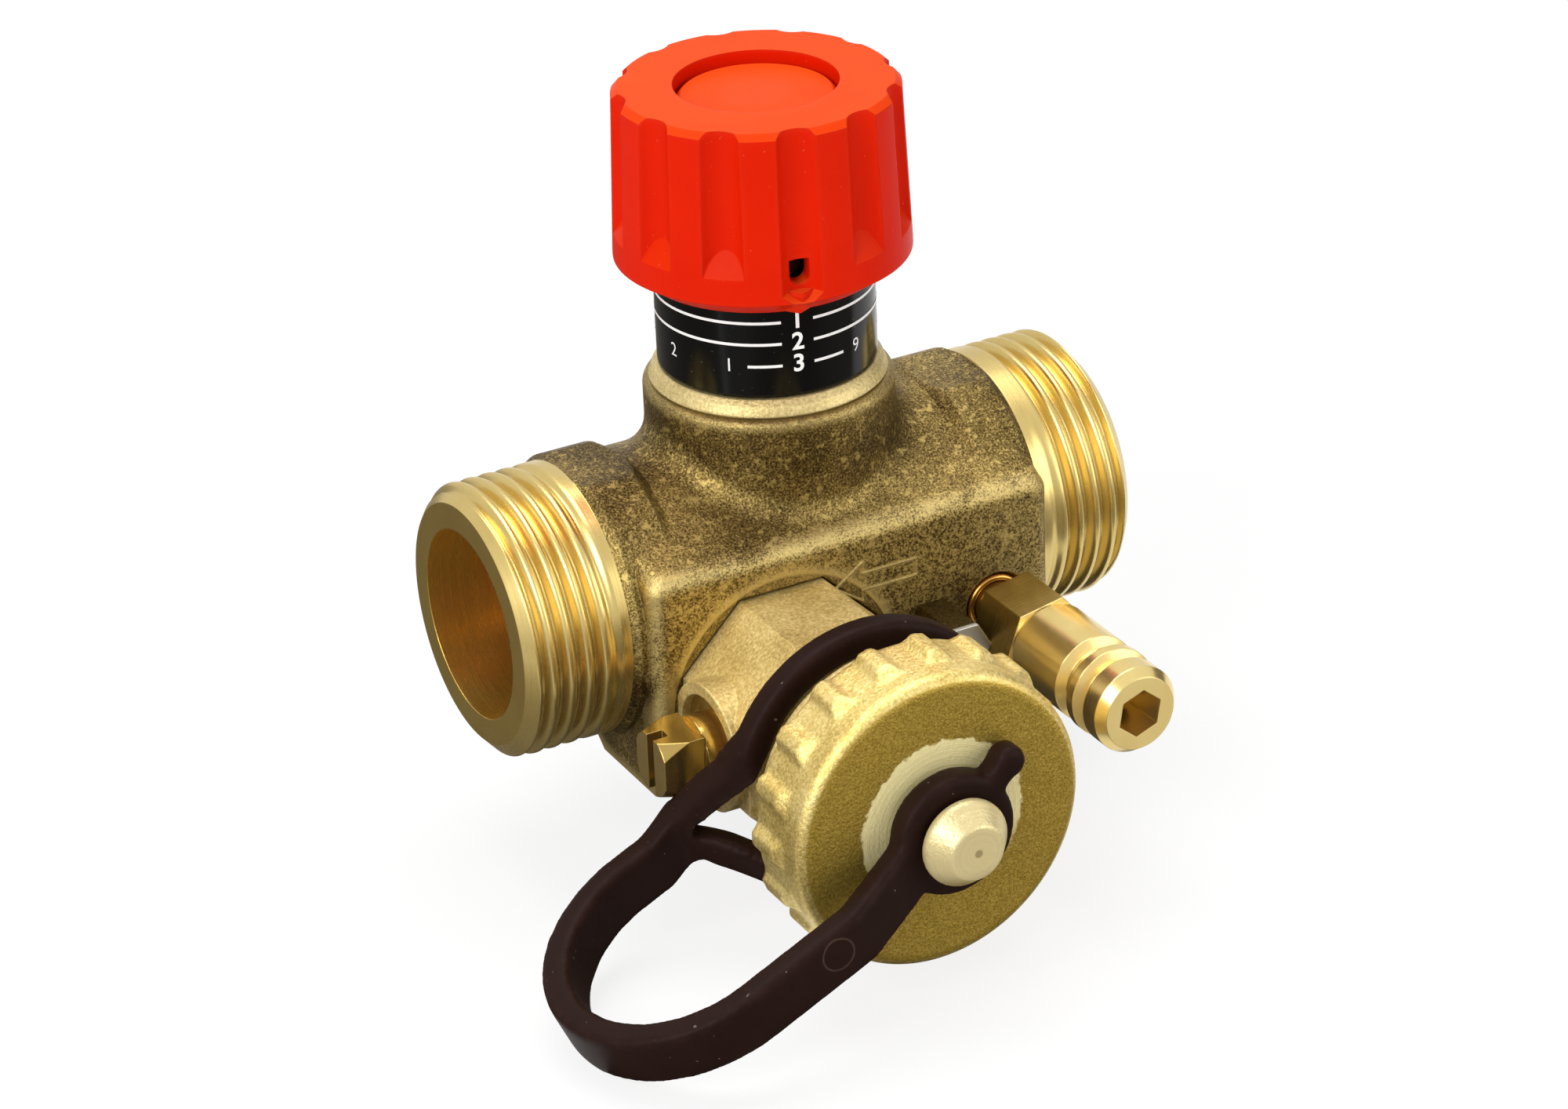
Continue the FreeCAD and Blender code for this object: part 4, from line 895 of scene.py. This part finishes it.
def soft_cap():
    """The blasted cap with its ribs and rim rounded over; the stud stays crisp."""
    mesh = even_copy("drain_cap", 0.2 * MM)
    points = points_of(mesh)
    outside = rise(np.hypot(*from_drain_axis(points)), CAP_RIB_ROOT_R, CAP_RIB_ROOT_R + 0.4 * MM)
    ease(mesh, [0.5, -0.52] * 4)
    ease(mesh, [0.5] * 4, outside)
    put_points(mesh, np.maximum(points_of(mesh), points.min(axis=0)))
    mesh.shade_smooth()
    return new_object("drain_cap_soft", mesh, [CAP_BRASS])


cap = soft_cap()
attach(cap, "cap")
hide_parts("drain_cap")


# Camera, light and floor

AIM = Vector((25.99, -14.09, 6.15)) * MM
DISTANCE = 450.0 * MM
AZIMUTH, ELEVATION, ROLL = (math.radians(a) for a in (-27.66, 27.20, -2.38))
LENS = 111.7


def look():
    """Camera at the photograph's viewing angle."""
    level = math.cos(ELEVATION)
    back = Vector((math.sin(AZIMUTH) * level, -math.cos(AZIMUTH) * level, math.sin(ELEVATION)))
    right = (-back).cross(Vector((0, 0, 1))).normalized()
    up = right.cross(-back)
    tilted_right = right * math.cos(ROLL) + up * math.sin(ROLL)
    tilted_up = up * math.cos(ROLL) - right * math.sin(ROLL)
    turn = Matrix((tilted_right, tilted_up, back)).transposed().to_4x4()
    data = bpy.data.cameras.new("camera")
    data.lens = LENS
    data.sensor_width = 36.0
    data.clip_start, data.clip_end = 0.01, 20.0
    camera = bpy.data.objects.new("camera", data)
    camera.matrix_world = Matrix.Translation(AIM + back * DISTANCE) @ turn
    bpy.context.scene.collection.objects.link(camera)
    bpy.context.scene.camera = camera


def lamp(name, place, power, size):
    """A soft box that faces the object."""
    data = bpy.data.lights.new(name, "AREA")
    data.shape = "RECTANGLE"
    data.size, data.size_y = size
    data.energy = power
    box = bpy.data.objects.new(name, data)
    box.location = place
    box.rotation_mode = "QUATERNION"
    box.rotation_quaternion = (Vector(place) - AIM).to_track_quat("Z", "Y")
    bpy.context.scene.collection.objects.link(box)


def rectangle(name, width, depth, material):
    """A flat rectangle about its own centre."""
    w, d = width / 2, depth / 2
    mesh = bpy.data.meshes.new(name)
    mesh.from_pydata([(-w, -d, 0), (w, -d, 0), (w, d, 0), (-w, d, 0)], [], [(0, 1, 2, 3)])
    return new_object(name, mesh, [material])


def flag(name, place, size, aim, colour):
    """A dark card that only mirrors see, turned to a point, so that bright metal shows something dark."""
    material = bpy.data.materials.new(name)
    material.use_nodes = True
    material.node_tree.nodes["Principled BSDF"].inputs["Base Color"].default_value = colour
    card = rectangle(name, *size, material)
    card.location = place
    card.rotation_mode = "QUATERNION"
    card.rotation_quaternion = (Vector(place) - aim).to_track_quat("Z", "Y")
    card.visible_camera = False
    card.visible_diffuse = False
    card.visible_shadow = False


def floor():
    """Pale floor that the camera sees as near white, with the object's soft shadow."""
    side, glow_share = 6.0, 0.82
    material = bpy.data.materials.new("floor")
    g = Tree(material)
    paper = g.add("ShaderNodeBsdfDiffuse", {"Color": (0.90, 0.90, 0.90, 1)}).outputs[0]
    glow = g.add("ShaderNodeEmission", {"Strength": 1.0}).outputs[0]
    path = g.add("ShaderNodeLightPath").outputs
    seen = g.math("MAXIMUM", path["Is Camera Ray"], path["Is Glossy Ray"])
    mixed = g.add("ShaderNodeMixShader", {0: g.times(seen, glow_share), 1: paper, 2: glow})
    g.add("ShaderNodeOutputMaterial", {"Surface": mixed.outputs[0]})
    plane = rectangle("floor", side, side, material)
    plane.location = (SPINDLE_X, 0.0, FLOOR_Z)


def surroundings():
    """White backdrop for the camera, a little dimmer in mirrors, dimmer still as a light on the object."""
    world = bpy.data.worlds.new("studio")
    bpy.context.scene.world = world
    light, mirrored = 0.32, 0.75
    g = Tree(world)
    white = g.add("ShaderNodeBackground", {"Color": (1, 1, 1, 1), "Strength": 1.0}).outputs[0]
    dim = g.add("ShaderNodeBackground", {"Color": (1, 1, 1, 1), "Strength": light}).outputs[0]
    path = g.add("ShaderNodeLightPath").outputs
    seen = g.math("MAXIMUM", path["Is Camera Ray"], path["Is Transmission Ray"])
    share = g.math("ADD", g.times(path["Is Glossy Ray"], mirrored), seen)
    mixed = g.add("ShaderNodeMixShader", {0: share, 1: dim, 2: white})
    g.add("ShaderNodeOutputWorld", {"Surface": mixed.outputs[0]})


look()
surroundings()
floor()
lamp("key", (-0.58, -0.36, 0.44), 4.8, (0.50, 0.50))
lamp("fill", (0.55, -0.50, 0.25), 1.7, (0.50, 0.50))
lamp("top", (0.05, 0.15, 0.65), 3.4, (0.55, 0.40))
LYING_Z, STRAIGHT_DOWN_Z = FLOOR_Z + 0.5 * MM, -1.0
DIM_BROWN, DARK_BROWN = (0.10, 0.088, 0.070, 1), (0.02, 0.016, 0.012, 1)
for name, x, y, size in (("floor_flag", 0.04, -0.44, (0.75, 0.80)), ("left_flag", -0.20, 0.20, (0.52, 0.46))):
    flag(name, (x, y, LYING_Z), size, Vector((x, y, STRAIGHT_DOWN_Z)), DIM_BROWN)
flag("right_flag", (0.50, 0.10, 0.05), (0.40, 0.30), AIM, DARK_BROWN)

bpy.context.scene.view_settings.view_transform = "Standard"
